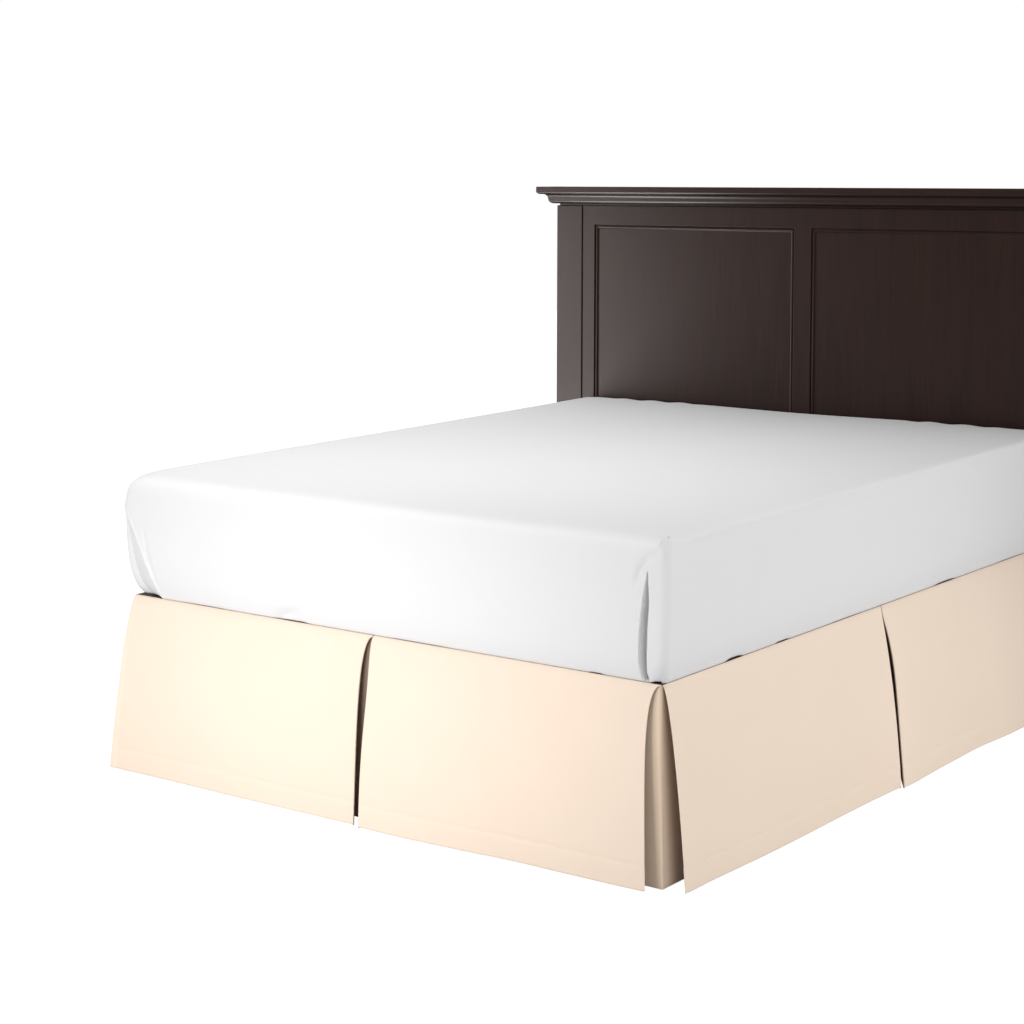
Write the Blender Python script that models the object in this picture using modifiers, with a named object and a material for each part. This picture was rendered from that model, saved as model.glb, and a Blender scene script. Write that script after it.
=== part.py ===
"""Bed skirt hung on a plain queen bed with its mattress and headboard.

The skirt is a deck sheet under the mattress, a drop hanging from each of
three edges and an underlay behind each split foot corner. Each drop is one
cloth, folded into an inverted box pleat at its middle. Metres, +Z up, +Y
towards the head of the bed, origin on the floor under the middle of the bed.
"""

import math
from collections import namedtuple

import bmesh
import bpy

# Driving dimensions of the bed, in metres.
BED_WIDTH = 1.524
BED_LENGTH = 2.032
SKIRT_TOP = 0.4251
CLOTH = 0.0015
SEAT_GAP = 0.0003
HALF_WIDTH = BED_WIDTH / 2
HALF_LENGTH = BED_LENGTH / 2
HEAD_CLEARANCE = 0.0005
HEAD_END = HALF_LENGTH - HEAD_CLEARANCE

# Hang of the cloth: a share of the drop raised to this power gives the flare.
FLARE_POWER = 0.62
LEAN_POWER = 1.5
BOW_PEAK = 0.2
BOW_REACH = 7
DROP_ROWS = 11
ROW_POWER = 1.4
FACE_OFFSET = SEAT_GAP + CLOTH / 2
HIDDEN_CLEARANCE = 0.0011
HIDDEN_TOP = SKIRT_TOP - CLOTH - HIDDEN_CLEARANCE

# Box pleats.
FOLD_RADIUS = 0.0015
FOLD_TANGENT = 0.00143
PLEAT_HALF_WIDTH = 0.075
PLEAT_LAYER = 2 * FOLD_RADIUS
UNDERLAY_POWER = 0.8
UNDERLAY_HEM = 0.011
# Points on the straight stretch that ends at each numbered corner of a pleat.
PLEAT_STRETCHES = {3: 2, 5: 4, 7: 2}

# Underlays behind the split corners.
INSERT_REACH = 0.11
INSERT_SET_BACK = 0.003
INSERT_FLARE_FOOT = 0.026
INSERT_FLARE_SIDE = 0.020
INSERT_FOOT_POWER = 0.6
INSERT_SIDE_POWER = 1.2
INSERT_CORNER_RADIUS = 0.014
INSERT_HEM = 0.010

# Deck, foundation and steel frame.
DECK_CORNER = 0.010
FOUNDATION_INSET = 0.008
FOUNDATION_HEIGHT = 0.2286
FOUNDATION_ROUNDING = 0.006
ANGLE_SIZE = 0.038
ANGLE_WALL = 0.003
RAIL_OUTER_X = 0.703
CROSS_BAR_Y = {"foot": -0.80, "middle": 0.0195, "head": 0.80}
LEG_RADIUS = 0.0125
LEG_X = 0.684
LEG_Y = 0.72
GLIDE_RADIUS = 0.022
GLIDE_HEIGHT = 0.016
GLIDE_SHOULDER = 0.006
GLIDE_ROUNDING = 0.002
LEG_STEPS = 16
BRACKET_SIZE = (0.08, 0.003, 0.075)
BRACKET_X = 0.70
BRACKET_ROUNDING = 0.0008
RAIL_FOOT_END = 0.94

# Mattress in its fitted sheet.
MATTRESS_THICKNESS = 0.313
MATTRESS_RISE = 0.0176
MATTRESS_CORNER = 0.024
CORNER_TRIM_SHARE = 0.8
CORNER_STEPS = 4
SIDE_STEPS = 7

# Headboard.
BOARD_GAP = 0.002
BOARD_THICKNESS = 0.060
BOARD_FRONT = HALF_LENGTH + BOARD_GAP
BOARD_BACK = BOARD_FRONT + BOARD_THICKNESS
BOARD_HALF_WIDTH = 0.890
BOARD_ROUNDING = 0.002
CROWN_TOP = 1.4265
POST_WIDTH = 0.098
STILE_WIDTH = 0.047
STILE_SET_BACK = 0.002
STILE_DEPTH = 0.040
MID_STILE_WIDTH = 0.058
TOP_RAIL_HEIGHT = 0.061
BOTTOM_RAIL = (0.100, 0.550)
RAIL_HEAD_END = BOARD_FRONT - 2 * SEAT_GAP - BRACKET_SIZE[1]
PANEL_SET_BACK = 0.004
PANEL_BORDER = 0.013
PANEL_RECESS = 0.006
PANEL_DEPTH = 0.018

Section = namedtuple("Section", "top hem flare lift")
Panel = namedtuple("Panel", "sections start_bow end_bow steps")
Ring = namedtuple("Ring", "share offset")
Step = namedtuple("Step", "overhang depth")
Finish = namedtuple("Finish", "color roughness metallic")

# Along the foot: places at the top edge and hem, flare and height of the hem.
FOOT_LEFT = Panel(
    sections=(
        Section(-0.7610, -0.762, 0.093, 0.011),
        Section(-0.7100, -0.705, 0.086, 0.010),
        Section(-0.5300, -0.527, 0.084, 0.010),
        Section(-0.3650, -0.364, 0.083, 0.010),
        Section(-0.2150, -0.217, 0.079, 0.009),
        Section(-0.0900, -0.094, 0.076, 0.009),
        Section(-0.0010, -0.005, 0.071, 0.008),
    ),
    start_bow=0.0,
    end_bow=-0.018,
    steps=17,
)
FOOT_RIGHT = Panel(
    sections=(
        Section(0.0010, 0.014, 0.080, 0.008),
        Section(0.0700, 0.077, 0.080, 0.008),
        Section(0.1950, 0.198, 0.078, 0.009),
        Section(0.3150, 0.315, 0.071, 0.009),
        Section(0.4250, 0.424, 0.063, 0.010),
        Section(0.6500, 0.647, 0.060, 0.010),
        Section(0.7610, 0.758, 0.058, 0.011),
    ),
    start_bow=0.0,
    end_bow=-0.023,
    steps=17,
)
# Along a side, from the split corner to the pleat and on to the head.
SIDE_NEAR = Panel(
    sections=(
        Section(-1.0150, -1.022, 0.061, 0.006),
        Section(-0.9400, -0.944, 0.062, 0.006),
        Section(-0.8200, -0.828, 0.066, 0.006),
        Section(-0.5600, -0.580, 0.073, 0.006),
        Section(-0.2700, -0.300, 0.075, 0.006),
        Section(-0.1200, -0.160, 0.077, 0.006),
        Section(-0.0120, -0.062, 0.083, 0.006),
    ),
    start_bow=-0.003,
    end_bow=-0.024,
    steps=19,
)
SIDE_FAR = Panel(
    sections=(
        Section(-0.0090, -0.059, 0.090, 0.006),
        Section(0.0550, 0.010, 0.091, 0.006),
        Section(0.2200, 0.190, 0.088, 0.006),
        Section(0.4200, 0.400, 0.087, 0.006),
        Section(0.5900, 0.580, 0.099, 0.006),
        Section(0.8300, 0.828, 0.101, 0.007),
        Section(1.0080, 1.008, 0.098, 0.008),
    ),
    start_bow=-0.016,
    end_bow=0.0,
    steps=18,
)
FOOT_UNDERLAY_FLARE = 0.036
SIDE_UNDERLAY_FLARE = 0.042

# Mattress outline: share of its thickness and how far it stands out there.
MATTRESS_RINGS = (
    Ring(0.000, -0.003),
    Ring(0.010, 0.003),
    Ring(0.045, 0.009),
    Ring(0.120, 0.014),
    Ring(0.350, 0.021),
    Ring(0.620, 0.026),
    Ring(0.780, 0.024),
    Ring(0.880, 0.014),
    Ring(0.938, 0.001),
    Ring(0.973, -0.015),
    Ring(0.993, -0.045),
    Ring(0.998, -0.110),
    Ring(1.000, -0.260),
)

# Crown moulding, from its top edge down: a band, an ogee, a fillet and a round.
CROWN_STEPS = (
    Step(0.048, 0.000),
    Step(0.049, 0.001),
    Step(0.049, 0.018),
    Step(0.043, 0.023),
    Step(0.030, 0.026),
    Step(0.024, 0.031),
    Step(0.022, 0.037),
    Step(0.021, 0.047),
    Step(0.017, 0.053),
    Step(0.010, 0.058),
    Step(0.002, 0.060),
)

FINISHES = {
    "skirt_cloth": Finish((0.87, 0.74, 0.61), 0.75, 0.0),
    "deck_cloth": Finish((0.09, 0.07, 0.06), 0.90, 0.0),
    "sheet_cloth": Finish((0.86, 0.86, 0.86), 0.85, 0.0),
    "foundation_cloth": Finish((0.62, 0.60, 0.57), 0.90, 0.0),
    "frame_steel": Finish((0.05, 0.05, 0.05), 0.45, 0.8),
    "board_wood": Finish((0.07, 0.05, 0.045), 0.40, 0.0),
}


def clear_scene():
    """Empties the scene."""
    for item in list(bpy.data.objects):
        bpy.data.objects.remove(item, do_unlink=True)


def make_finishes():
    """Makes one Principled material for each finish."""
    materials = {}
    for name, finish in FINISHES.items():
        material = bpy.data.materials.new(name)
        material.use_nodes = True
        shader = material.node_tree.nodes["Principled BSDF"]
        shader.inputs["Base Color"].default_value = (*finish.color, 1.0)
        shader.inputs["Roughness"].default_value = finish.roughness
        shader.inputs["Metallic"].default_value = finish.metallic
        materials[name] = material
    return materials


def add_part(name, mesh, finish):
    """Links one named sub-part with its material into the part's collection."""
    mesh.materials.append(finish)
    part = bpy.data.objects.new(name, mesh)
    bpy.data.collections["bed_skirt_on_bed"].objects.link(part)
    return part


def mesh_from(name, points, faces):
    """Makes a mesh whose faces point outwards."""
    shape = bmesh.new()
    vertices = [shape.verts.new(point) for point in points]
    for face in faces:
        shape.faces.new([vertices[index] for index in face])
    bmesh.ops.recalc_face_normals(shape, faces=shape.faces)
    return finish_edit(name, shape)


def finish_edit(name, shape):
    """Turns an open mesh edit into a mesh and closes it."""
    mesh = bpy.data.meshes.new(name)
    shape.to_mesh(mesh)
    shape.free()
    return mesh


def read_section(sections, share):
    """Reads a table of sections at a share of its length, on a smooth curve."""
    place = share * (len(sections) - 1)
    index = min(int(place), len(sections) - 2)
    part = place - index
    before = sections[max(index - 1, 0)]
    after = sections[min(index + 2, len(sections) - 1)]
    values = []
    for a, b, c, d in zip(before, sections[index], sections[index + 1], after):
        pull = 2 * b + (c - a) * part
        pull += (2 * a - 5 * b + 4 * c - d) * part**2
        pull += (3 * b - a - 3 * c + d) * part**3
        values.append(pull / 2)
    return Section(*values)


def bow_at(drop):
    """Gives how far open a pleat's edge bows at a share of the drop, from 0 to 1."""
    if drop <= 0 or drop >= 1:
        return 0.0
    return math.sin(math.pi * drop ** (math.log(0.5) / math.log(BOW_PEAK)))


def panel_point(panel, share, drop):
    """Gives a front panel's point as place along the wall, distance out and height."""
    section = read_section(panel.sections, share)
    along = section.top + (section.hem - section.top) * drop**LEAN_POWER
    along += panel.start_bow * bow_at(drop) * (1 - share) ** BOW_REACH
    along += panel.end_bow * bow_at(drop) * share**BOW_REACH
    out = FACE_OFFSET + section.flare * drop**FLARE_POWER
    return along, out, SKIRT_TOP + (section.lift - SKIRT_TOP) * drop


def panel_row(panel, drop):
    """Gives one row of a front panel's points, closer together near its two ends."""
    row = []
    for step in range(panel.steps):
        even = step / (panel.steps - 1)
        eased = (1 - math.cos(math.pi * even)) / 2
        row.append(panel_point(panel, (even + eased) / 2, drop))
    return row


def step_towards(start, end, length):
    """Gives the point at a length from start towards end."""
    share = length / math.dist(start, end)
    return tuple(a + (b - a) * share for a, b in zip(start, end))


def rounded_corner(before, corner, after):
    """Rounds one corner of a fold with three points."""
    first = step_towards(corner, before, FOLD_TANGENT)
    last = step_towards(corner, after, FOLD_TANGENT)
    middle = tuple((a + 2 * b + c) / 4 for a, b, c in zip(first, corner, last))
    return [first, middle, last]


def between(start, end, count):
    """Gives evenly spaced points strictly between two points."""
    length = math.dist(start, end)
    return [step_towards(start, end, length * n / (count + 1)) for n in range(1, count + 1)]


def pleat_corners(near_edge, far_edge, underlay_flare, drop):
    """Gives the corners of a box pleat's folds, from one front edge to the other."""
    middle = (near_edge[0] + far_edge[0]) / 2
    left = middle - PLEAT_HALF_WIDTH
    right = middle + PLEAT_HALF_WIDTH
    underlay = FACE_OFFSET - 2 * PLEAT_LAYER + underlay_flare * drop**UNDERLAY_POWER
    fold_height = HIDDEN_TOP + (near_edge[2] - SKIRT_TOP)
    back_height = HIDDEN_TOP + (UNDERLAY_HEM - HIDDEN_TOP) * drop
    return [
        (near_edge[0], near_edge[1], fold_height),
        (near_edge[0], near_edge[1] - PLEAT_LAYER, fold_height),
        (left, underlay + PLEAT_LAYER, back_height),
        (left, underlay, back_height),
        (right, underlay, back_height),
        (right, underlay + PLEAT_LAYER, back_height),
        (far_edge[0], far_edge[1] - PLEAT_LAYER, fold_height),
        (far_edge[0], far_edge[1], fold_height),
    ]


def drop_row(near, far, underlay_flare, drop):
    """Gives one row across a whole drop: a panel, the box pleat and a panel."""
    near_row = panel_row(near, drop)
    far_row = panel_row(far, drop)
    corners = pleat_corners(near_row[-1], far_row[0], underlay_flare, drop)
    chain = [near_row[-2], *corners, far_row[1]]
    row = near_row[:-1]
    for place in range(1, len(chain) - 1):
        rounded = rounded_corner(*chain[place - 1 : place + 2])
        if place in PLEAT_STRETCHES:
            row += between(row[-1], rounded[0], PLEAT_STRETCHES[place])
        row += rounded
    return row + far_row[1:]


def drop_shares():
    """Gives the shares of the drop at which its rows lie, closer at the top."""
    return [(n / DROP_ROWS) ** ROW_POWER for n in range(DROP_ROWS + 1)]


def grid_faces(rows, columns):
    """Gives the quads between the rows of a grid."""
    faces = []
    for row in range(rows - 1):
        for column in range(columns - 1):
            start = row * columns + column
            faces.append((start, start + 1, start + columns + 1, start + columns))
    return faces


def add_cloth(name, rows, finish):
    """Makes one cloth from rows of points, with its thickness on both sides."""
    points = [point for row in rows for point in row]
    mesh = mesh_from(name, points, grid_faces(len(rows), len(rows[0])))
    part = add_part(name, mesh, finish)
    shell = part.modifiers.new("cloth thickness", "SOLIDIFY")
    shell.thickness = CLOTH
    shell.offset = 0.0
    shell.use_even_offset = True
    return part


def add_drop(name, near, far, underlay_flare, to_world, finish):
    """Makes one pleated drop, placed in the world by to_world."""
    rows = []
    for drop in drop_shares():
        row = drop_row(near, far, underlay_flare, drop)
        rows.append([to_world(*point) for point in row])
    return add_cloth(name, rows, finish)


def foot_to_world(along, out, height):
    """Places a point of the foot drop."""
    return along, -HALF_LENGTH - out, height


def right_to_world(along, out, height):
    """Places a point of the right side drop."""
    return HALF_WIDTH + out, along, height


def left_to_world(along, out, height):
    """Places a point of the left side drop."""
    return -HALF_WIDTH - out, along, height


def insert_row(mirror, drop):
    """Gives one row of a corner underlay, round the foot corner of the bed."""
    back = FACE_OFFSET - INSERT_SET_BACK
    side = HALF_WIDTH + back + INSERT_FLARE_SIDE * drop**INSERT_SIDE_POWER
    foot = -HALF_LENGTH - back - INSERT_FLARE_FOOT * drop**INSERT_FOOT_POWER
    height = HIDDEN_TOP + (INSERT_HEM - HIDDEN_TOP) * drop
    start = (HALF_WIDTH - INSERT_REACH, foot)
    end = (side, -HALF_LENGTH + INSERT_REACH)
    centre = (side - INSERT_CORNER_RADIUS, foot + INSERT_CORNER_RADIUS)
    plan = [start, *between(start, (centre[0], foot), 2)]
    for step in range(CORNER_STEPS + 1):
        angle = math.pi / 2 * (step / CORNER_STEPS - 1)
        across = centre[0] + INSERT_CORNER_RADIUS * math.cos(angle)
        plan.append((across, centre[1] + INSERT_CORNER_RADIUS * math.sin(angle)))
    plan += [*between((side, centre[1]), end, 2), end]
    return [(mirror * x, y, height) for x, y in plan]


def add_insert(name, mirror, finish):
    """Makes the underlay behind one split foot corner."""
    rows = [insert_row(mirror, drop) for drop in drop_shares()]
    return add_cloth(name, rows, finish)


def rounded_rectangle(low, high, radius):
    """Gives a rounded rectangle's outline, anticlockwise, with points on its sides."""
    corners = (
        (high[0] - radius, low[1] + radius, -90),
        (high[0] - radius, high[1] - radius, 0),
        (low[0] + radius, high[1] - radius, 90),
        (low[0] + radius, low[1] + radius, 180),
    )
    outline = []
    for x, y, turn in corners:
        arc = []
        for step in range(CORNER_STEPS + 1):
            angle = math.radians(turn + 90 * step / CORNER_STEPS)
            arc.append((x + radius * math.cos(angle), y + radius * math.sin(angle)))
        if outline:
            outline += between(outline[-1], arc[0], SIDE_STEPS)
        outline += arc
    return outline + between(outline[-1], outline[0], SIDE_STEPS)


def stack_faces(rings, columns):
    """Gives the faces of a closed stack of rings, with its two end caps."""
    faces = [tuple(range(columns)), tuple((rings - 1) * columns + n for n in range(columns))]
    for ring in range(rings - 1):
        for column in range(columns):
            after = (column + 1) % columns
            low = ring * columns
            high = low + columns
            faces.append((low + column, low + after, high + after, high + column))
    return faces


def add_stack(name, rings, finish):
    """Makes a closed solid from a stack of like rings."""
    points = [point for ring in rings for point in ring]
    mesh = mesh_from(name, points, stack_faces(len(rings), len(rings[0])))
    return add_part(name, mesh, finish)


def mattress_ring(ring):
    """Gives one outline of the mattress at its share of the thickness."""
    trim = max(-ring.offset, 0)
    low = (-HALF_WIDTH - ring.offset, -HALF_LENGTH - ring.offset)
    high = (HALF_WIDTH + ring.offset, HEAD_END - trim)
    outline = rounded_rectangle(low, high, MATTRESS_CORNER + CORNER_TRIM_SHARE * trim)
    bottom = SKIRT_TOP + SEAT_GAP
    points = []
    for x, y in outline:
        thickness = MATTRESS_THICKNESS + MATTRESS_RISE * y
        points.append((x, y, bottom + ring.share * thickness))
    return points


def add_mattress(finish):
    """Makes the crowned mattress in its fitted sheet."""
    return add_stack("mattress", [mattress_ring(ring) for ring in MATTRESS_RINGS], finish)


def add_deck(finish):
    """Makes the deck sheet that lies between foundation and mattress."""
    low = (-HALF_WIDTH, -HALF_LENGTH)
    outline = rounded_rectangle(low, (HALF_WIDTH, HEAD_END), DECK_CORNER)
    heights = (SKIRT_TOP - CLOTH, SKIRT_TOP)
    return add_stack("deck", [[(x, y, z) for x, y in outline] for z in heights], finish)


def box_between(low, high):
    """Gives an open mesh edit that holds a box between two corners."""
    shape = bmesh.new()
    bmesh.ops.create_cube(shape, size=1.0)
    for vertex in shape.verts:
        vertex.co = [b if c > 0 else a for a, b, c in zip(low, high, vertex.co)]
    return shape


def add_box(name, low, high, rounding, finish):
    """Makes a box between two corners, its edges rounded by a bevel."""
    part = add_part(name, finish_edit(name, box_between(low, high)), finish)
    bevel = part.modifiers.new("rounded edges", "BEVEL")
    bevel.width = rounding
    bevel.segments = 1
    return part


def add_foundation(finish):
    """Makes the plain foundation that the deck lies on."""
    top = SKIRT_TOP - CLOTH - SEAT_GAP
    low = (-HALF_WIDTH + FOUNDATION_INSET, -HALF_LENGTH + FOUNDATION_INSET, top - FOUNDATION_HEIGHT)
    high = (HALF_WIDTH - FOUNDATION_INSET, HEAD_END, top)
    return add_box("foundation", low, high, FOUNDATION_ROUNDING, finish)


def frame_top():
    """Gives the height of the steel frame's upper face."""
    return SKIRT_TOP - CLOTH - 2 * SEAT_GAP - FOUNDATION_HEIGHT


def angle_outline(web, inner, top):
    """Gives an L section: a level flange whose web hangs at the outer place."""
    wall = ANGLE_WALL if web > inner else -ANGLE_WALL
    return [
        (inner, top),
        (web, top),
        (web, top - ANGLE_SIZE),
        (web - wall, top - ANGLE_SIZE),
        (web - wall, top - ANGLE_WALL),
        (inner, top - ANGLE_WALL),
    ]


def add_rail(name, mirror, finish):
    """Makes one side rail of the frame, along the bed."""
    inner = mirror * (RAIL_OUTER_X - ANGLE_SIZE)
    outline = angle_outline(mirror * RAIL_OUTER_X, inner, frame_top())
    ends = (-RAIL_FOOT_END, RAIL_HEAD_END)
    return add_stack(name, [[(x, y, z) for x, z in outline] for y in ends], finish)


def add_cross_bar(name, web, finish):
    """Makes one cross bar, between the webs of the two side rails."""
    top = frame_top() - ANGLE_WALL - SEAT_GAP
    outline = angle_outline(web, web - math.copysign(ANGLE_SIZE, web), top)
    reach = RAIL_OUTER_X - ANGLE_WALL - SEAT_GAP
    ends = (-reach, reach)
    return add_stack(name, [[(x, y, z) for y, z in outline] for x in ends], finish)


def add_leg(name, x, y, top, finish):
    """Makes one turned leg with its glide, standing on the floor."""
    profile = (
        (0.0, top),
        (LEG_RADIUS, top),
        (LEG_RADIUS, GLIDE_HEIGHT + GLIDE_SHOULDER),
        (GLIDE_RADIUS, GLIDE_HEIGHT),
        (GLIDE_RADIUS, GLIDE_ROUNDING),
        (GLIDE_RADIUS - GLIDE_ROUNDING, 0.0),
        (0.0, 0.0),
    )
    mesh = bpy.data.meshes.new(name)
    edges = [(n, n + 1) for n in range(len(profile) - 1)]
    mesh.from_pydata([(radius, 0.0, height) for radius, height in profile], edges, [])
    part = add_part(name, mesh, finish)
    part.location = (x, y, 0.0)
    turn = part.modifiers.new("turned", "SCREW")
    turn.steps = LEG_STEPS
    turn.render_steps = LEG_STEPS
    turn.use_merge_vertices = True
    turn.merge_threshold = 0.0001
    return part


def add_legs(finish):
    """Makes the four rail legs and the support leg in the middle."""
    under_rail = frame_top() - ANGLE_WALL - SEAT_GAP
    for end, y in (("foot", -LEG_Y), ("head", LEG_Y)):
        for side, x in (("left", -LEG_X), ("right", LEG_X)):
            add_leg(f"leg_{end}_{side}", x, y, under_rail, finish)
    add_leg("leg_middle", 0.0, 0.0, under_rail - ANGLE_WALL - SEAT_GAP, finish)


def add_frame(finish):
    """Makes the steel frame: two rails, three cross bars, legs and brackets."""
    add_rail("rail_left", -1, finish)
    add_rail("rail_right", 1, finish)
    for place, web in CROSS_BAR_Y.items():
        add_cross_bar(f"cross_bar_{place}", web, finish)
    add_legs(finish)
    front = BOARD_FRONT - SEAT_GAP - BRACKET_SIZE[1]
    top = frame_top() - SEAT_GAP
    for side, mirror in (("left", -1), ("right", 1)):
        middle = mirror * BRACKET_X
        low = (middle - BRACKET_SIZE[0] / 2, front, top - BRACKET_SIZE[2])
        high = (middle + BRACKET_SIZE[0] / 2, front + BRACKET_SIZE[1], top)
        add_box(f"bracket_{side}", low, high, BRACKET_ROUNDING, finish)


def add_board_box(name, across, up, set_back, depth, finish):
    """Makes one plain board of the headboard."""
    front = BOARD_FRONT + set_back
    low = (across[0], front, up[0])
    high = (across[1], front + depth, up[1])
    return add_box(name, low, high, BOARD_ROUNDING, finish)


def add_board_panel(name, across, up, finish):
    """Makes one recessed panel with its raised border."""
    front = BOARD_FRONT + PANEL_SET_BACK
    low = (across[0], front, up[0])
    high = (across[1], front + PANEL_DEPTH, up[1])
    shape = box_between(low, high)
    shape.normal_update()
    face = min(shape.faces, key=lambda item: item.normal.y)
    bmesh.ops.inset_region(shape, faces=[face], thickness=PANEL_BORDER, depth=0.0)
    for vertex in face.verts:
        vertex.co.y += PANEL_RECESS
    return add_part(name, finish_edit(name, shape), finish)


def add_crown(finish):
    """Makes the crown moulding, returned round both ends of the headboard."""
    rings = []
    for step in CROWN_STEPS:
        side = BOARD_HALF_WIDTH + step.overhang
        front = BOARD_FRONT - step.overhang
        height = CROWN_TOP - step.depth
        plan = ((-side, front), (side, front), (side, BOARD_BACK), (-side, BOARD_BACK))
        rings.append([(x, y, height) for x, y in plan])
    return add_stack("headboard_crown", rings, finish)


def add_headboard(finish):
    """Makes the framed headboard: posts, rails, stiles, two panels and a crown."""
    post_top = CROWN_TOP - CROWN_STEPS[-1].depth - SEAT_GAP
    post_inner = BOARD_HALF_WIDTH - POST_WIDTH
    stile_outer = post_inner - SEAT_GAP
    stile_inner = stile_outer - STILE_WIDTH
    middle = MID_STILE_WIDTH / 2
    panel_top = post_top - TOP_RAIL_HEIGHT
    field = (BOTTOM_RAIL[1] + SEAT_GAP, panel_top - SEAT_GAP)
    for side, mirror in (("left", -1), ("right", 1)):
        post = sorted((mirror * post_inner, mirror * BOARD_HALF_WIDTH))
        add_board_box(f"headboard_post_{side}", post, (0.0, post_top), 0.0, BOARD_THICKNESS, finish)
        stile = sorted((mirror * stile_inner, mirror * stile_outer))
        add_board_box(
            f"headboard_stile_{side}", stile, field, STILE_SET_BACK, STILE_DEPTH, finish
        )
        panel = sorted((mirror * (middle + SEAT_GAP), mirror * (stile_inner - SEAT_GAP)))
        add_board_panel(f"headboard_panel_{side}", panel, field, finish)
    add_board_box(
        "headboard_stile_middle", (-middle, middle), field, STILE_SET_BACK, STILE_DEPTH, finish
    )
    across = (-stile_outer, stile_outer)
    top_rail = (panel_top, post_top)
    add_board_box("headboard_top_rail", across, top_rail, STILE_SET_BACK, STILE_DEPTH, finish)
    add_board_box("headboard_bottom_rail", across, BOTTOM_RAIL, 0.0, STILE_DEPTH, finish)
    add_crown(finish)


def add_skirt(materials):
    """Makes the skirt: deck, three drops and two corner underlays."""
    cloth = materials["skirt_cloth"]
    add_deck(materials["deck_cloth"])
    add_drop("foot_drop", FOOT_LEFT, FOOT_RIGHT, FOOT_UNDERLAY_FLARE, foot_to_world, cloth)
    for side, to_world in (("left", left_to_world), ("right", right_to_world)):
        name = f"side_drop_{side}"
        add_drop(name, SIDE_NEAR, SIDE_FAR, SIDE_UNDERLAY_FLARE, to_world, cloth)
    add_insert("corner_underlay_left", -1, cloth)
    add_insert("corner_underlay_right", 1, cloth)


def main():
    """Builds the bed skirt and the bed it hangs on."""
    clear_scene()
    collection = bpy.data.collections.new("bed_skirt_on_bed")
    bpy.context.scene.collection.children.link(collection)
    materials = make_finishes()
    add_skirt(materials)
    add_mattress(materials["sheet_cloth"])
    add_foundation(materials["foundation_cloth"])
    add_frame(materials["frame_steel"])
    add_headboard(materials["board_wood"])


main()
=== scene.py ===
"""Looks of a bed skirt hung on a plain queen bed with its mattress and headboard.

Metres, +Z up, +Y towards the head of the bed, origin on the floor under the
middle of the bed, as in the solids that this script dresses.
"""

import logging
from collections.abc import Iterator
from contextlib import contextmanager
from dataclasses import dataclass
from enum import Enum
from math import atan2, cos, hypot, log, pi, radians, sin

import bmesh
import bpy
import numpy as np
from mathutils import Euler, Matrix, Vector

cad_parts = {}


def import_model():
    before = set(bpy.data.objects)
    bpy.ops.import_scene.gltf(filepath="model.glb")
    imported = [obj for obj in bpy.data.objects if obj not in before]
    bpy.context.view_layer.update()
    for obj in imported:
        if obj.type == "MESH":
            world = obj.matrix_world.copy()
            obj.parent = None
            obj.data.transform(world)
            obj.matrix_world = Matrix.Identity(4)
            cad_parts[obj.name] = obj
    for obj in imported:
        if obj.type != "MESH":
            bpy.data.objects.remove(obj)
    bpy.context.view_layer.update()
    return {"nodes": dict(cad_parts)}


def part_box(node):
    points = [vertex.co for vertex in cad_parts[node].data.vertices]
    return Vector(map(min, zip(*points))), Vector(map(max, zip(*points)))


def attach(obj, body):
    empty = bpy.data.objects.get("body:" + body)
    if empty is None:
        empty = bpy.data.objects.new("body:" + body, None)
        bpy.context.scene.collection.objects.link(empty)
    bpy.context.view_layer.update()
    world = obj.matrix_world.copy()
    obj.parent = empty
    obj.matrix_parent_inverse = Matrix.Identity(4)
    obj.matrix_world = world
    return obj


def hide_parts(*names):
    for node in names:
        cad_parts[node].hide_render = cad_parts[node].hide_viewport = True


LOG = logging.getLogger("bed_skirt")

Array = np.ndarray
Material = bpy.types.Material
Piece = bpy.types.Object
Socket = bpy.types.NodeSocket
Tree = bpy.types.NodeTree
Node = bpy.types.Node
Point = tuple[float, float, float]
Table = tuple[tuple[float, ...], ...]

# Sizes that several pieces share, in metres. Skirt top is the deck's upper face, layer
# the distance between folded layers and hidden top that of cloth behind a panel.
HALF_WIDTH = 0.762
HALF_LENGTH = 1.016
HEAD_END = 1.0155
SKIRT_TOP = 0.4251
LOWEST_HEM = 0.008
CLOTH = 0.0015
SEAT_GAP = 0.0003
LAYER = 0.003
FACE_OFFSET = SEAT_GAP + CLOTH / 2
HIDDEN_TOP = SKIRT_TOP - CLOTH - 0.0011
BOARD_FRONT = 1.018
BOARD_BACK = 1.078

# Nodes that several materials use.
MIX, MATH, RANGE = "ShaderNodeMix", "ShaderNodeMath", "ShaderNodeMapRange"
NOISE, MAPPING = "ShaderNodeTexNoise", "ShaderNodeMapping"


# ---------------------------------------------------------------- helpers


def linear(colour: str) -> tuple[float, ...]:
    """Turns an sRGB hex colour into linear red, green, blue and alpha."""
    values = [int(colour[start : start + 2], 16) / 255 for start in (1, 3, 5)]
    return (*[v / 12.92 if v <= 0.04045 else ((v + 0.055) / 1.055) ** 2.4 for v in values], 1.0)


def set_inputs(tree: Tree, node: Node, inputs: dict) -> None:
    """Gives a node's inputs their values and links.

    Args:
        tree: The node's tree.
        node: The node.
        inputs: Values, or sockets or nodes to link from, by the input's name or number.
            A node stands for its first output.
    """
    for key, value in inputs.items():
        value = value.outputs[0] if isinstance(value, Node) else value
        if isinstance(value, Socket):
            tree.links.new(value, node.inputs[key])
        else:
            node.inputs[key].default_value = value


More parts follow.
